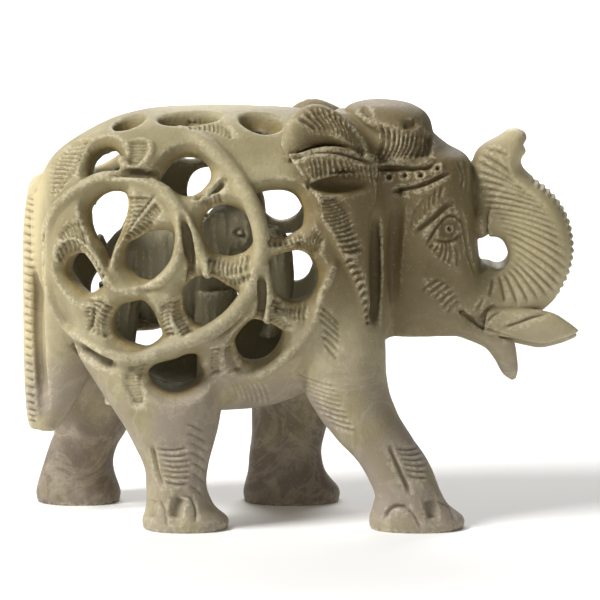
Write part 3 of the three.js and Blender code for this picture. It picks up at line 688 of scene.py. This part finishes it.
# Finer strokes of the ear, head and legs in the same form, with half width in units and depth in mm
FEATHERS = [
    ([(298, 121), (310, 112), (320, 110), (332, 113), (343, 119), (352, 127), (360, 138)],
     [(316, 131), (325, 132), (333, 133), (342, 137), (350, 143), (358, 151), (365, 158)],
      12, 0.12, 3.0, 0.8),
    ([(299, 163), (306, 161), (316, 159), (328, 160), (342, 161), (355, 164), (366, 166), (377, 167)],
     [(309, 192), (311, 184), (319, 178), (330, 178), (345, 178), (357, 180), (368, 181), (378, 181)],
      17, 0.1, 2.4, 0.65),
    ([(324, 199), (319, 209), (322, 219), (331, 229), (338, 240), (343, 254)],
     [(336, 197), (345, 203), (350, 211), (352, 222), (356, 236), (362, 250)], 14, -0.12, 2.4, 0.7),
    ([(344, 262), (352, 276), (360, 294), (365, 312), (367, 326)],
     [(352, 258), (360, 272), (366, 288), (370, 308), (371, 324)], 10, 0.2, 2.2, 0.7),
    ([(379, 126), (393, 130), (404, 133), (414, 134), (424, 133), (430, 137)],
     [(374, 160), (383, 160), (394, 159), (405, 158), (418, 157), (428, 156)], 11, 0.24, 2.8, 0.9),
    ([(409, 231), (417, 224), (425, 215), (433, 206), (441, 197)],
     [(416, 210), (422, 201), (428, 196), (435, 191), (445, 185)], 7, 0.12, 1.8, 0.35),
    ([(431, 243), (438, 246), (445, 243), (450, 243), (458, 249)],
     [(428, 247), (434, 251), (441, 261), (448, 263), (460, 266)], 6, 0.15, 1.7, 0.4),
    ([(489, 146), (481, 158), (478, 175), (482, 190), (484, 203), (490, 213), (498, 222), (506, 234),
     (511, 248),
      (512, 258), (509, 268), (501, 275), (490, 280)],
     [(508, 150), (513, 178), (532, 194), (545, 206), (553, 218), (560, 232), (564, 248), (565, 266),
      (561, 284),
      (550, 296), (532, 302), (510, 304), (485, 293)], 23, 0.07, 2.3, 0.5),
    ([(420, 290), (429, 294), (437, 300), (444, 307), (449, 315)],
     [(437, 279), (446, 283), (452, 289), (457, 295), (460, 303)], 6, 0.12, 2.0, 0.4),
    ([(322, 305), (320, 316), (322, 332), (324, 346)], [(338, 322), (340, 334), (338, 346), (336, 363)],
     6, 0.05, 2.2, 0.4),
    ([(297, 373), (303, 384), (310, 396), (318, 410), (330, 424)],
     [(336, 385), (340, 396), (344, 407), (350, 420), (357, 433)], 9, -0.1, 2.0, 0.35),
    ([(157, 447), (158, 456), (160, 465), (163, 474), (166, 484)],
     [(186, 445), (190, 455), (191, 465), (190, 475), (186, 486)], 7, -0.16, 2.2, 0.4),
    ([(186, 421), (188, 436), (190, 452), (192, 470), (190, 490)],
     [(203, 428), (206, 444), (207, 462), (205, 480), (200, 499)], 7, 0.1, 1.8, 0.3),
    ([(396, 447), (400, 456), (404, 466), (408, 477)], [(419, 445), (423, 455), (426, 467), (426, 479)],
     6, -0.16, 2.2, 0.4),
    ([(23, 195), (22, 250), (23, 310), (25, 370), (28, 422)],
     [(33, 198), (33, 253), (33, 313), (34, 373), (36, 424)], 30, 0, 2.0, 0.5),
    ([(230, 384), (240, 383), (251, 382), (262, 381)], [(236, 400), (247, 402), (259, 404), (271, 406)],
     7, 0.1, 1.8, 0.3),
]
# Single grooves: half width in units, depth in mm, path
GROOVES = [
    (2.2, 0.6, [(154, 196), (145, 208), (135, 221), (126, 236)]),
    (5.5, 2.2, [(183, 218), (187, 236), (190, 256), (192, 274), (190, 287)]),
    (5.0, 1.6, [(262, 278), (262, 296), (260, 312), (257, 322)]),
    (6.0, 2.2, [(76, 346), (88, 354), (100, 361), (112, 366)]),
    (5.0, 1.8, [(112, 176), (126, 173), (142, 173), (156, 174)]),
    (5.0, 1.8, [(198, 197), (208, 195), (217, 189), (224, 181)]),
    (2.4, 0.7, [(93, 310), (91, 321), (88, 332)]),
    (3.5, 1.4, [(291, 161), (300, 155), (311, 151), (326, 150), (341, 152), (354, 156), (372, 163)]),
    (3.6, 1.2, [(377, 168), (392, 169), (410, 169), (426, 168), (437, 163)]),
    (3.2, 1.1, [(394, 191), (404, 189), (419, 186), (434, 180), (447, 173)]),
    (4.0, 1.2, [(399, 191), (400, 192)]),
    (4.0, 0.9, [(417, 232), (426, 224), (437, 215), (451, 202)]),
    (2.0, 0.6, [(427, 244), (434, 232), (441, 223), (449, 216), (456, 216), (462, 222)]),
    (1.8, 0.5, [(436, 240), (446, 242), (455, 240), (461, 234)]),
    (2.4, 0.8, [(461, 312), (470, 318), (484, 328), (500, 335), (512, 338)]),
    (4.5, 1.0, [(462, 312), (463, 314)]),
    (3.0, 0.8, [(152, 447), (155, 460), (158, 474), (162, 486)]),
    (3.0, 0.8, [(390, 447), (396, 462), (403, 478), (410, 493)]),
    (7.0, 0.8, [(153, 499), (151, 508), (150, 518)]),
    (1.8, 0.4, [(160, 500), (165, 512), (167, 526)]),
    (8.5, 1.1, [(181, 497), (177, 506), (175, 519)]),
    (1.8, 0.4, [(183, 496), (191, 498), (196, 511), (195, 522)]),
    (3.0, 0.7, [(385, 519), (388, 511), (396, 506), (407, 507)]),
    (1.8, 0.4, [(406, 508), (414, 515), (421, 528)]),
    (8.0, 1.1, [(428, 499), (431, 507), (434, 518)]),
    (1.8, 0.4, [(438, 501), (447, 506), (455, 519)]),
    (6.5, 1.2, [(41, 192), (39, 240), (38, 300), (40, 360), (44, 405)]),
    (16, 0.9, [(440, 229), (450, 230), (457, 232)]),
    (12, 0.7, [(424, 264), (440, 273), (456, 284)]),
    (9, 0.7, [(398, 200), (396, 230), (393, 262), (391, 296)]),
    (7, 0.9, [(374, 214), (375, 250), (375, 290), (373, 328)]),
    (6, 1.1, [(398, 190), (399, 192)]),
    (2.2, 0.6, [(461, 212), (465, 230), (468, 250), (474, 272)]),
    (1.8, 0.4, [(458, 163), (463, 176), (461, 187)]),
    (1.8, 0.4, [(464, 162), (467, 178), (466, 192)]),
    (2.0, 0.5, [(476, 311), (481, 303), (483, 298)]),
    (2.0, 0.5, [(481, 318), (488, 309), (495, 305)]),
    (2.0, 0.5, [(487, 321), (495, 314), (501, 311)]),
    (2.6, 0.7, [(505, 327), (520, 322), (535, 316), (549, 312)]),
    (6.0, 0.9, [(404, 124), (411, 125), (417, 123)]),
    (5.0, 0.8, [(361, 108), (366, 112), (369, 117)]),
]
# Drilled ring dots of the bead band, and the eye: centre, ring, pit in units
DOTS = [((389, 177), 6.4, 2.7), ((405, 175), 6.4, 2.7), ((421, 175), 6.2, 2.7), ((438, 168), 5.6, 2.5),
        ((451, 229), 5.0, 2.2)]


def rungs(rail_a, rail_b, count, bow):
    """Strokes from one rail to the other, bent sideways by the bow."""
    starts, ends = spread(rail_a, count * 2 + 1)[1::2], spread(rail_b, count * 2 + 1)[1::2]
    strokes = []
    for a, b in zip(starts, ends):
        middle = (a + b) / 2 + np.array([b[1] - a[1], a[0] - b[0]]) * bow
        t = np.linspace(0, 1, 6)[:, None]
        strokes.append(a * (1 - t) ** 2 + middle * 2 * t * (1 - t) + b * t ** 2)
    return strokes


def smooth_step(value, low, high):
    """Share from 0 to 1 that rises smoothly between two limits."""
    t = np.clip((value - low) / (high - low), 0, 1)
    return t * t * (3 - 2 * t)


def skin_normals(points, quads):
    """Unit normals of the points of a skin of quads."""
    a, b, c, d = (points[quads[:, k]] for k in range(4))
    face = np.cross(c - a, d - b)
    total = np.zeros_like(points)
    for k in range(4):
        for axis in range(3):
            total[:, axis] += np.bincount(quads[:, k], face[:, axis], len(points))
    return total / np.maximum(np.linalg.norm(total, axis=1, keepdims=True), 1e-12)


def neighbour_mean(values, quads, count):
    """Mean of a value over the neighbours of each point."""
    total = np.zeros(count)
    number = np.zeros(count)
    for k in range(4):
        here, there = quads[:, k], quads[:, (k + 1) % 4]
        total += np.bincount(here, values[there], count) + np.bincount(there, values[here], count)
        number += np.bincount(here, minlength=count) + np.bincount(there, minlength=count)
    return total / np.maximum(number, 1)


def lumps(points, size, seed):
    """Even random lumps of a size in mm, from -1 to 1."""
    lattice = np.random.default_rng(seed).uniform(-1, 1, (32, 32, 32))
    spot = points / size
    base = np.floor(spot).astype(int)
    t = smooth_step(spot - base, 0, 1)
    total = np.zeros(len(points))
    for corner in np.ndindex(2, 2, 2):
        weight = np.prod(np.where(corner, t, 1 - t), axis=1)
        i, j, k = ((base + corner) % 32).T
        total += weight * lattice[i, j, k]
    return total


# Depth in mm under the plain skin that strokes still reach
OUTER_SKIN = 3.2


class Chisel:
    """Sinks strokes of the front view into the outer skin of one side of the stone."""

    def __init__(self, points, normals, under, side):
        toward = np.array([0, side * math.cos(VIEW_TILT), math.sin(VIEW_TILT)])
        facing = normals @ toward
        self.index = np.nonzero((facing > 0.05) & (under < OUTER_SKIN) & (points[:, 1] * side > -4))[0]
        self.flat = drawn(points[self.index], side)
        outer = 1 - smooth_step(under[self.index], 2.2, OUTER_SKIN)
        self.fade = smooth_step(facing[self.index], 0.05, 0.3) * outer
        self.sink = np.zeros(len(self.index))

    def near(self, path, reach):
        """Points within reach of a path: their places in the list, distances and shares of its length."""
        path = np.asarray(path, float)
        low, high = path.min(0) - reach, path.max(0) + reach
        inside = np.nonzero(((self.flat > low) & (self.flat < high)).all(1))[0]
        spots = self.flat[inside]
        nearest = np.full(len(inside), np.inf)
        along = np.zeros(len(inside))
        steps = np.linalg.norm(np.diff(path, axis=0), axis=1)
        ends = np.concatenate([[0], np.cumsum(steps)]) / max(steps.sum(), 1e-9)
        for a, b, start, end in zip(path[:-1], path[1:], ends[:-1], ends[1:]):
            run = b - a
            t = np.clip((spots - a) @ run / max(run @ run, 1e-9), 0, 1)
            gap = np.linalg.norm(spots - a - t[:, None] * run, axis=1)
            closer = gap < nearest
            nearest[closer] = gap[closer]
            along[closer] = (start + t * (end - start))[closer]
        return inside, nearest, along

    def cut(self, strokes, half, depth):
        """One set of strokes with rounded floors and tapering ends."""
        layer = np.zeros(len(self.index))
        for path in strokes:
            inside, gap, along = self.near(path, half)
            profile = np.clip(1 - (gap / half) ** 2, 0, 1) ** 1.3
            taper = np.clip(np.minimum(along, 1 - along) * 5 + 0.35, 0, 1)
            layer[inside] = np.maximum(layer[inside], depth * profile * taper)
        self.sink += layer

    def dot(self, centre, ring, pit, height, depth):
        """A drilled pit inside a raised ring."""
        inside, gap, _ = self.near([centre, np.add(centre, 0.01)], ring + 2)
        self.sink[inside] -= height * np.exp(-((gap - ring * 0.72) / (ring * 0.3)) ** 2)
        self.sink[inside] += depth * (1 - smooth_step(gap, pit * 0.5, pit * 1.1))


# How far the far legs' strokes stand from the near legs' strokes on the front view
HIND_SHIFT, FRONT_SHIFT = -110, -124
# Limits on the front view: legs lie below the first line, and head and ear lie beyond the second and above
# the third
LEG_LINE, HEAD_LINE, CHIN_LINE = 440, 290, 370
# Half width in units and depth in mm of leaf strokes, and height and depth in mm of ring dots
LEAF_STROKE, FAR_LEAF_STROKE = (2.8, 0.75), (2.4, 0.45)
DOT_RELIEF = (0.35, 1.0)
# Points of a far opening's edge that carry strokes, and where these begin and end against the edge
FAR_LEAF_ARC, FAR_LEAF_REACH = slice(8, 30), (1.12, 1.5)
# Notches of the trunk: radii and angles that they fade in and out between, and their depth in mm
NOTCH_RIM, NOTCH_ARC, NOTCH_DEPTH = (16.6, 17.8, 19, 20.5), (-42, -30, 56, 66), 0.5


def far_copy(path):
    """A near stroke as the far side has it, or nothing where the plainer far side has none."""
    x, y = path[0]
    if y > LEG_LINE:
        shift = HIND_SHIFT if x < VIEW_MIDDLE else FRONT_SHIFT
        return [(px + shift, py) for px, py in path]
    return path if x > HEAD_LINE and y < CHIN_LINE else None


def carve_strokes(points, normals, under, depth_scale):
    """Depth in mm that each point of the skin sinks under the strokes."""
    sink = np.zeros(len(points))
    for side in (-1, 1):
        chisel = Chisel(points, normals, under, side)
        if side < 0:
            for rail_a, rail_b, count, bow in LEAVES:
                chisel.cut(rungs(rail_a, rail_b, count, bow), *LEAF_STROKE)
        else:
            for row in FAR_OPENINGS:
                x, z = egg(*row, count=40)
                edge = flank(x, z, 1)
                middle = edge.mean(0)
                arc = edge[FAR_LEAF_ARC] - middle
                inner, outer = (drawn(middle + arc * share, 1) for share in FAR_LEAF_REACH)
                chisel.cut(rungs(inner, outer, 10, 0.1), *FAR_LEAF_STROKE)
        for rail_a, rail_b, count, bow, half, depth in FEATHERS:
            rail_a, rail_b = (rail_a, rail_b) if side < 0 else (far_copy(rail_a), far_copy(rail_b))
            if rail_a and rail_b:
                chisel.cut(rungs(rail_a, rail_b, count, bow), half, depth)
        for half, depth, path in GROOVES:
            path = path if side < 0 else far_copy(path)
            if path:
                chisel.cut([spread(path, len(path) * 4)], half, depth)
        for centre, ring, pit in DOTS:
            chisel.dot(centre, ring, pit, *DOT_RELIEF)
        np.add.at(sink, chisel.index, chisel.sink * chisel.fade * depth_scale)
    return sink


def trunk_notches(points, under):
    """Fine notches along the outer edge of the curled trunk."""
    across, rise = points[:, 0] - LOOP["x"], points[:, 2] - LOOP["z"]
    radius = np.hypot(across, rise)
    angle = np.degrees(np.arctan2(rise, across))
    notch = 0.5 + 0.5 * np.cos(np.radians(angle / FAN["notch"] * 360))
    rim = smooth_step(radius, *NOTCH_RIM[:2]) * (1 - smooth_step(radius, *NOTCH_RIM[2:])) * (under < 2)
    fade_out = 1 - smooth_step(angle, *NOTCH_ARC[2:])
    return rim * notch * NOTCH_DEPTH * smooth_step(angle, *NOTCH_ARC[:2]) * fade_out


def stone_mesh(name, points, quads, attributes):
    """Mesh object of a skin in mm, with values carried on its points."""
    mesh = bpy.data.meshes.new(name)
    mesh.vertices.add(len(points))
    mesh.vertices.foreach_set("co", (points * MM).astype(np.float32).ravel())
    mesh.loops.add(quads.size)
    mesh.loops.foreach_set("vertex_index", quads.astype(np.int32).ravel())
    mesh.polygons.add(len(quads))
    mesh.polygons.foreach_set("loop_start", np.arange(0, quads.size, 4, dtype=np.int32))
    mesh.update(calc_edges=True)
    for key, values in attributes.items():
        mesh.attributes.new(key, "FLOAT", "POINT").data.foreach_set("value", values.astype(np.float32))
    piece = bpy.data.objects.new(name, mesh)
    bpy.context.scene.collection.objects.link(piece)
    return piece


def linear(code):
    """Linear colour of an sRGB hex code."""
    values = [int(code[k:k + 2], 16) / 255 for k in (1, 3, 5)]
    return tuple(v / 12.92 if v <= 0.04045 else ((v + 0.055) / 1.055) ** 2.4 for v in values)


def hex_colour(name, description, code):
    """Colour setting that starts at an sRGB hex code."""
    return bpy.props.FloatVectorProperty(
        name=name, description=description, subtype="COLOR", size=3, min=0, max=1, default=linear(code))


def lamp_power(name, description, watts):
    """Power setting of one light."""
    return bpy.props.FloatProperty(
        name=name, description=description, default=watts, min=0, subtype="POWER", unit="POWER")


class CarvingSettings(bpy.types.PropertyGroup):
    """Sizes and colours of the carving that a user may change."""

    cell: bpy.props.FloatProperty(
        name="Cell", description="Size of the grid that the stone is cut on, in mm",
        default=0.3, min=0.15, max=1)
    stroke_depth: bpy.props.FloatProperty(
        name="Stroke depth", description="Depth of the chisel strokes against the drawn ones",
        default=1.0, min=0, max=2)
    triangles: bpy.props.IntProperty(
        name="Triangles", description="Triangles kept in the finished mesh",
        default=192000, min=20000, max=199000)
    cream: hex_colour("Cream", "Colour of the sanded outer stone", "#a79c78")
    # Painted light: the trunk and tail are made paler as if they caught more light
    light: hex_colour("Light", "Colour of the paler stone of the trunk and tail", "#c2b48b")
    olive: hex_colour("Olive", "Colour of the darker clouds in the stone", "#857a58")
    mauve: hex_colour("Grey mauve", "Colour of the veined stone of the legs", "#928676")
    # Brown of the ear and face: partly the stone's own brown, partly painted shade where the ear shadows the
    # head
    brown_and_shade: hex_colour("Brown", "Colour of the waxed stone of the ear and face", "#6c5d3b")
    # Umber of the far legs: partly darker veined stone, partly painted shade under the belly
    umber_and_shade: hex_colour("Umber", "Colour of the darker veined stone of the far legs", "#594a3c")
    # Painted glow: gold laid on the thin walls of the openings for light passing through and bouncing inside
    # them
    painted_glow: hex_colour("Gold", "Colour of the thin walls of the openings", "#8a7544")
    grey: hex_colour("Grey", "Colour of the rough stone inside", "#8f8a70")
    # Painted shade laid in the concave creases and the deeper chisel cuts
    crease_and_cut_shade: hex_colour("Dark", "Colour of dust in the deepest cuts", "#463719")
    pale: hex_colour("Pale", "Colour of bruised and scratched edges", "#cfc6aa")


class StageSettings(bpy.types.PropertyGroup):
    """Floor and light of the stage."""

    floor: hex_colour("Floor", "Colour of the floor and backdrop", "#f4f3f1")
    key: lamp_power("Key light", "Power of the light from the upper left", 8.5)
    fill: lamp_power("Fill light", "Power of the light from the front", 0.5)
    backdrop: lamp_power("Floor light", "Power of the light on the floor behind", 8.0)


def add_node(tree, kind, inputs=None, **settings):
    """Adds a node with its settings; an input is a value to set or a socket to link."""
    made = tree.nodes.new(kind)
    for key, value in settings.items():
        setattr(made, key, value)
    for key, value in (inputs or {}).items():
        if isinstance(value, bpy.types.NodeSocket):
            tree.links.new(value, made.inputs[key])
        else:
            made.inputs[key].default_value = value
    return made


# Patterns in the stone: size in mm, detail, roughness, distortion
PATTERNS = {
    "clouds": (24, 4, 0.55, 0), "mottle": (2.6, 6, 0.68, 0), "leg_clouds": (14, 5, 0.55, 0),
    "far_clouds": (9, 5, 0.6, 0), "face_clouds": (18, 4, 0.55, 0), "veins": (15, 6, 0.62, 1.4),
    "grit": (0.9, 3, 0.7, 0), "grain": (0.5, 5, 0.7, 0),
}
# Colours laid over the cream in turn: colour, strength, and patterns or places with the limits that they
# fade between
LAYERS = [
    ("olive", 1.0, [("clouds", 0.38, 0.66)]),
    ("olive", 0.4, [("mottle", 0.36, 0.64)]),
    # Painted light on the trunk (this line) and the tail (next line)
    ("light", 0.6, [("X", 0.036, 0.050)]),
    ("light", 0.9, [("X", -0.055, -0.059)]),
    ("mauve", 1.0, [("Z", 0.056, 0.022), ("leg_clouds", 0.3, 0.58)]),
    # Umber on the far side below the belly: partly veined stone, partly painted shade on the far legs
    ("umber_and_shade", 0.75, [("Y", 0.002, 0.010), ("Z", 0.046, 0.030), ("far_clouds", 0.25, 0.58)]),
    # Brown over the ear, head and cheek: partly stone colour, partly painted shade under the ear and brow
    ("brown_and_shade", 0.9, [("X", -0.006, 0.003), ("X", 0.050, 0.030), ("Z", 0.042, 0.060),
                    ("face_clouds", 0.1, 0.5)]),
    ("brown_and_shade", 0.6, [("X", 0.014, 0.022), ("X", 0.050, 0.030), ("Z", 0.034, 0.044)]),
    ("pale", 0.14, [("veins", 0.44, 0.5), ("veins", 0.56, 0.5), ("Z", 0.055, 0.030)]),
    # Painted glow on the walls of the openings, from just under the outer skin to about 3 mm in
    ("painted_glow", 0.7, [("under", 0.9, 3.0)]),
    ("grey", 0.8, [("under", 3.2, 3.58)]),
    # Painted shade in concave creases and, on the next line, in the deeper cuts
    ("crease_and_cut_shade", 0.45, [("edge", -0.08, -0.6)]),
    ("crease_and_cut_shade", 0.3, [("cut", 0.2, 1.4)]),
    ("pale", 0.45, [("edge", 0.06, 0.35), ("grit", 0.4, 0.6)]),
    ("pale", 0.3, [("grit", 0.56, 0.72), ("grain", 0.45, 0.62)]),
]


def soapstone(settings):
    """Soapstone, cut with chisels and sanded by hand.

    It is soft and slightly waxy: a satin surface with cloudy colour, grey veins in the legs and pale bruises
    along the edges. Painted light and shade sit in its colour too: a golden glow painted into the thin walls,
    painted shade in creases and cuts, a brown on the ear and face and an umber on the far legs that are partly
    painted shade, and a paler trunk and tail that is painted light.
    """
    made = bpy.data.materials.new("soapstone_carved_and_sanded")
    made.use_nodes = True
    tree = made.node_tree
    tree.nodes.clear()
    place = add_node(tree, "ShaderNodeTexCoord").outputs["Object"]
    values = dict(add_node(tree, "ShaderNodeSeparateXYZ", {0: place}).outputs.items())
    for key in ("under", "edge", "cut"):
        values[key] = add_node(tree, "ShaderNodeAttribute", attribute_name=key).outputs["Fac"]
    for key, (size, detail, rough, distortion) in PATTERNS.items():
        values[key] = add_node(tree, "ShaderNodeTexNoise", {
            "Vector": place, "Scale": 1 / (size * MM), "Detail": detail, "Roughness": rough,
            "Distortion": distortion}).outputs["Fac"]
    colour = (*settings.cream, 1)
    for key, strength, fades in LAYERS:
        share = strength
        for value, low, high in fades:
            fade = add_node(tree, "ShaderNodeMapRange", {
                "Value": values[value], "From Min": low, "From Max": high},
                interpolation_type="SMOOTHSTEP").outputs["Result"]
            share = add_node(tree, "ShaderNodeMath", {0: share, 1: fade}, operation="MULTIPLY").outputs[0]
        over = (*getattr(settings, key), 1)
        colour = add_node(tree, "ShaderNodeMix", {"Factor": share, "A": colour, "B": over},
                          data_type="RGBA").outputs["Result"]
    relief = add_node(tree, "ShaderNodeMath", {0: values["grain"], 1: values["grit"]},
                      operation="ADD").outputs[0]
    bump = add_node(tree, "ShaderNodeBump", {
        "Strength": 0.7, "Distance": 0.2 * MM, "Height": relief}).outputs["Normal"]
    gloss = add_node(tree, "ShaderNodeMapRange", {"Value": values["grit"], "From Min": 0.3, "From Max": 0.7,
                                                  "To Min": 0.46, "To Max": 0.66}).outputs["Result"]
    shader = add_node(tree, "ShaderNodeBsdfPrincipled", {
        "Base Color": colour, "Roughness": gloss, "Normal": bump, "IOR": 1.54, "Specular IOR Level": 0.35})
    add_node(tree, "ShaderNodeOutputMaterial", {"Surface": shader.outputs[0]})
    return made


# Waves that hand work leaves all over: size in mm and seed, and their height in mm
HAND_WAVES, HAND_WAVE_HEIGHT = (3.0, 3), 0.07
# Upright tool lines on the calf: size in mm and seed, depth in mm, and how they are drawn out in height
INSIDE_LINES, INSIDE_LINE_DEPTH, LINE_STRETCH = (0.8, 9), 0.22, (1, 1, 0.12)
# Depths under the plain skin where the inside begins, and its half width, in mm
INSIDE, INSIDE_HALF = (2.5, 3.5), 12
# Soles stay flat: greatest height in mm, and how far the skin there faces down
SOLE_HEIGHT, SOLE_TURN = 0.4, -0.6
# Brings the bend of the skin at an edge to about 1
EDGE_GAIN = 6


class CARVING_OT_elephant(bpy.types.Operator):
    """Carve the elephant, its scrollwork and the calf inside from one block"""

    bl_idname = "carving.elephant"
    bl_label = "Carve elephant"

    def execute(self, context):
        settings = context.scene.carving_settings
        block, whole = carve_block(settings.cell)
        points, quads = block.surface()
        if not len(quads):
            raise RuntimeError("the stone has no skin")
        normals = skin_normals(points, quads)
        a, c = points[quads[:, 0]], points[quads[:, 2]]
        if np.einsum("ij,ij->", np.cross(a, points[quads[:, 1]]), c) < 0:
            quads = quads[:, ::-1].copy()
            normals = -normals
        under = -block.read(whole, points)
        sink = carve_strokes(points, normals, under, settings.stroke_depth)
        sink += trunk_notches(points, under) * settings.stroke_depth
        inside = smooth_step(under, *INSIDE) * (np.abs(points[:, 1]) < INSIDE_HALF)
        sink += lumps(points, *HAND_WAVES) * HAND_WAVE_HEIGHT
        chisel_lines = lumps(points * LINE_STRETCH, *INSIDE_LINES)
        sink += inside * chisel_lines * INSIDE_LINE_DEPTH
        sole = (points[:, 2] < SOLE_HEIGHT) & (normals[:, 2] < SOLE_TURN)
        sink[sole] = 0
        points = points - normals * sink[:, None]
        points[:, 2] = np.maximum(points[:, 2], 0)
        normals = skin_normals(points, quads)
        mean = np.stack([neighbour_mean(points[:, k], quads, len(points)) for k in range(3)], -1)
        edge = np.einsum("ij,ij->i", points - mean, normals) / block.cell
        for _ in range(2):
            edge = neighbour_mean(edge, quads, len(points))
        # under, edge and cut also carry the masks of the painted glow in the thin walls and the painted shade in
        # creases and cuts
        piece = stone_mesh("elephant_stone", points, quads, {
            "under": under, "edge": np.clip(edge * EDGE_GAIN, -1, 1), "cut": np.clip(sink, -1, 2)})
        bpy.ops.object.select_all(action="DESELECT")
        piece.select_set(True)
        context.view_layer.objects.active = piece
        bpy.ops.object.modifier_add(type="DECIMATE")
        thin = piece.modifiers[-1]
        thin.ratio = min(1.0, settings.triangles / (2 * len(quads)))
        bpy.ops.object.modifier_apply(modifier=thin.name)
        bpy.ops.mesh.separate(type="LOOSE")
        chips = sorted(context.selected_objects, key=lambda each: len(each.data.vertices))
        piece = chips.pop()
        for chip in chips:
            bpy.data.objects.remove(chip)
        piece.name = "elephant_stone"
        context.view_layer.objects.active = piece
        bpy.ops.object.shade_smooth()
        piece.data.materials.append(soapstone(settings))
        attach(piece, "root")
        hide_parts("elephant_carving")
        return {"FINISHED"}


# Stage: width of the floor and middle of the carving in metres, strength of the sky, camera sensor in mm
FLOOR_SIZE, LAMP_AIM, SKY_STRENGTH, SENSOR = 6.0, (0, 0, 0.045), 0.19, 36


class CARVING_OT_stage(bpy.types.Operator):
    """Set up the pale floor, the soft lights and the camera"""

    bl_idname = "carving.stage"
    bl_label = "Set stage"

    def execute(self, context):
        settings = context.scene.stage_settings
        scene = context.scene
        bpy.ops.object.select_all(action="DESELECT")
        bpy.ops.mesh.primitive_plane_add(size=FLOOR_SIZE, location=(0, 0, 0))
        floor = context.active_object
        floor.name = "floor"
        paint = bpy.data.materials.new("backdrop_paper_matt")
        paint.use_nodes = True
        shader = paint.node_tree.nodes["Principled BSDF"]
        shader.inputs["Base Color"].default_value = (*settings.floor, 1)
        shader.inputs["Roughness"].default_value = 0.9
        floor.data.materials.append(paint)
        aim = VIEW_AIM * MM

        def lamp(name, place, size, power, target=LAMP_AIM):
            """Round soft light that faces a target."""
            bpy.ops.object.light_add(type="AREA", location=place)
            light = context.active_object
            light.name = name
            light.data.shape = "DISK"
            light.data.size = size
            light.data.energy = power
            spot = [t - p for t, p in zip(target, place)]
            flat = math.hypot(spot[0], spot[1])
            light.rotation_euler = (math.atan2(flat, -spot[2]), 0, math.atan2(spot[1], spot[0]) - math.pi / 2)
            return light

        lamp("key_light", (-0.54, -0.25, 0.60), 0.28, settings.key)
        lamp("fill_light", (0.1, -0.8, 0.3), 0.5, settings.fill)
        lamp("floor_light", (0, 0.8, 0.55), 0.8, settings.backdrop, (0, 0.55, 0))
        world = scene.world or bpy.data.worlds.new("studio")
        scene.world = world
        world.use_nodes = True
        background = world.node_tree.nodes["Background"]
        background.inputs["Color"].default_value = (1.0, 1.0, 1.0, 1)
        background.inputs["Strength"].default_value = SKY_STRENGTH
        scene.view_settings.view_transform = "Standard"
        distance = VIEW_DISTANCE * MM
        place = (aim[0], aim[1] - distance * math.cos(VIEW_TILT), aim[2] + distance * math.sin(VIEW_TILT))
        bpy.ops.object.camera_add(location=place, rotation=(math.pi / 2 - VIEW_TILT, 0, 0))
        camera = context.active_object
        camera.name = "photo_camera"
        camera.data.sensor_width = SENSOR
        camera.data.lens = SENSOR * VIEW_DISTANCE / (2 * VIEW_MIDDLE * UNIT)
        camera.data.clip_start = 0.05
        scene.camera = camera
        return {"FINISHED"}


class CARVING_PT_panel(bpy.types.Panel):
    """Settings and steps of the carving"""

    bl_idname = "CARVING_PT_panel"
    bl_label = "Soapstone elephant"
    bl_space_type = "VIEW_3D"
    bl_region_type = "UI"
    bl_category = "Carving"

    def draw(self, context):
        for group in (context.scene.carving_settings, context.scene.stage_settings):
            for key in group.__annotations__:
                self.layout.prop(group, key)
        self.layout.operator(CARVING_OT_elephant.bl_idname)
        self.layout.operator(CARVING_OT_stage.bl_idname)


CLASSES = (CarvingSettings, StageSettings, CARVING_OT_elephant, CARVING_OT_stage, CARVING_PT_panel)


def register():
    """Adds the settings, operators and panel."""
    for entry in CLASSES:
        bpy.utils.register_class(entry)
    bpy.types.Scene.carving_settings = bpy.props.PointerProperty(type=CarvingSettings)
    bpy.types.Scene.stage_settings = bpy.props.PointerProperty(type=StageSettings)


def unregister():
    """Takes them away again."""
    del bpy.types.Scene.carving_settings
    del bpy.types.Scene.stage_settings
    for entry in reversed(CLASSES):
        bpy.utils.unregister_class(entry)


def main():
    """Builds the carving and its stage."""
    register()
    bpy.ops.carving.elephant()
    bpy.ops.carving.stage()


if __name__ == "__main__":
    main()
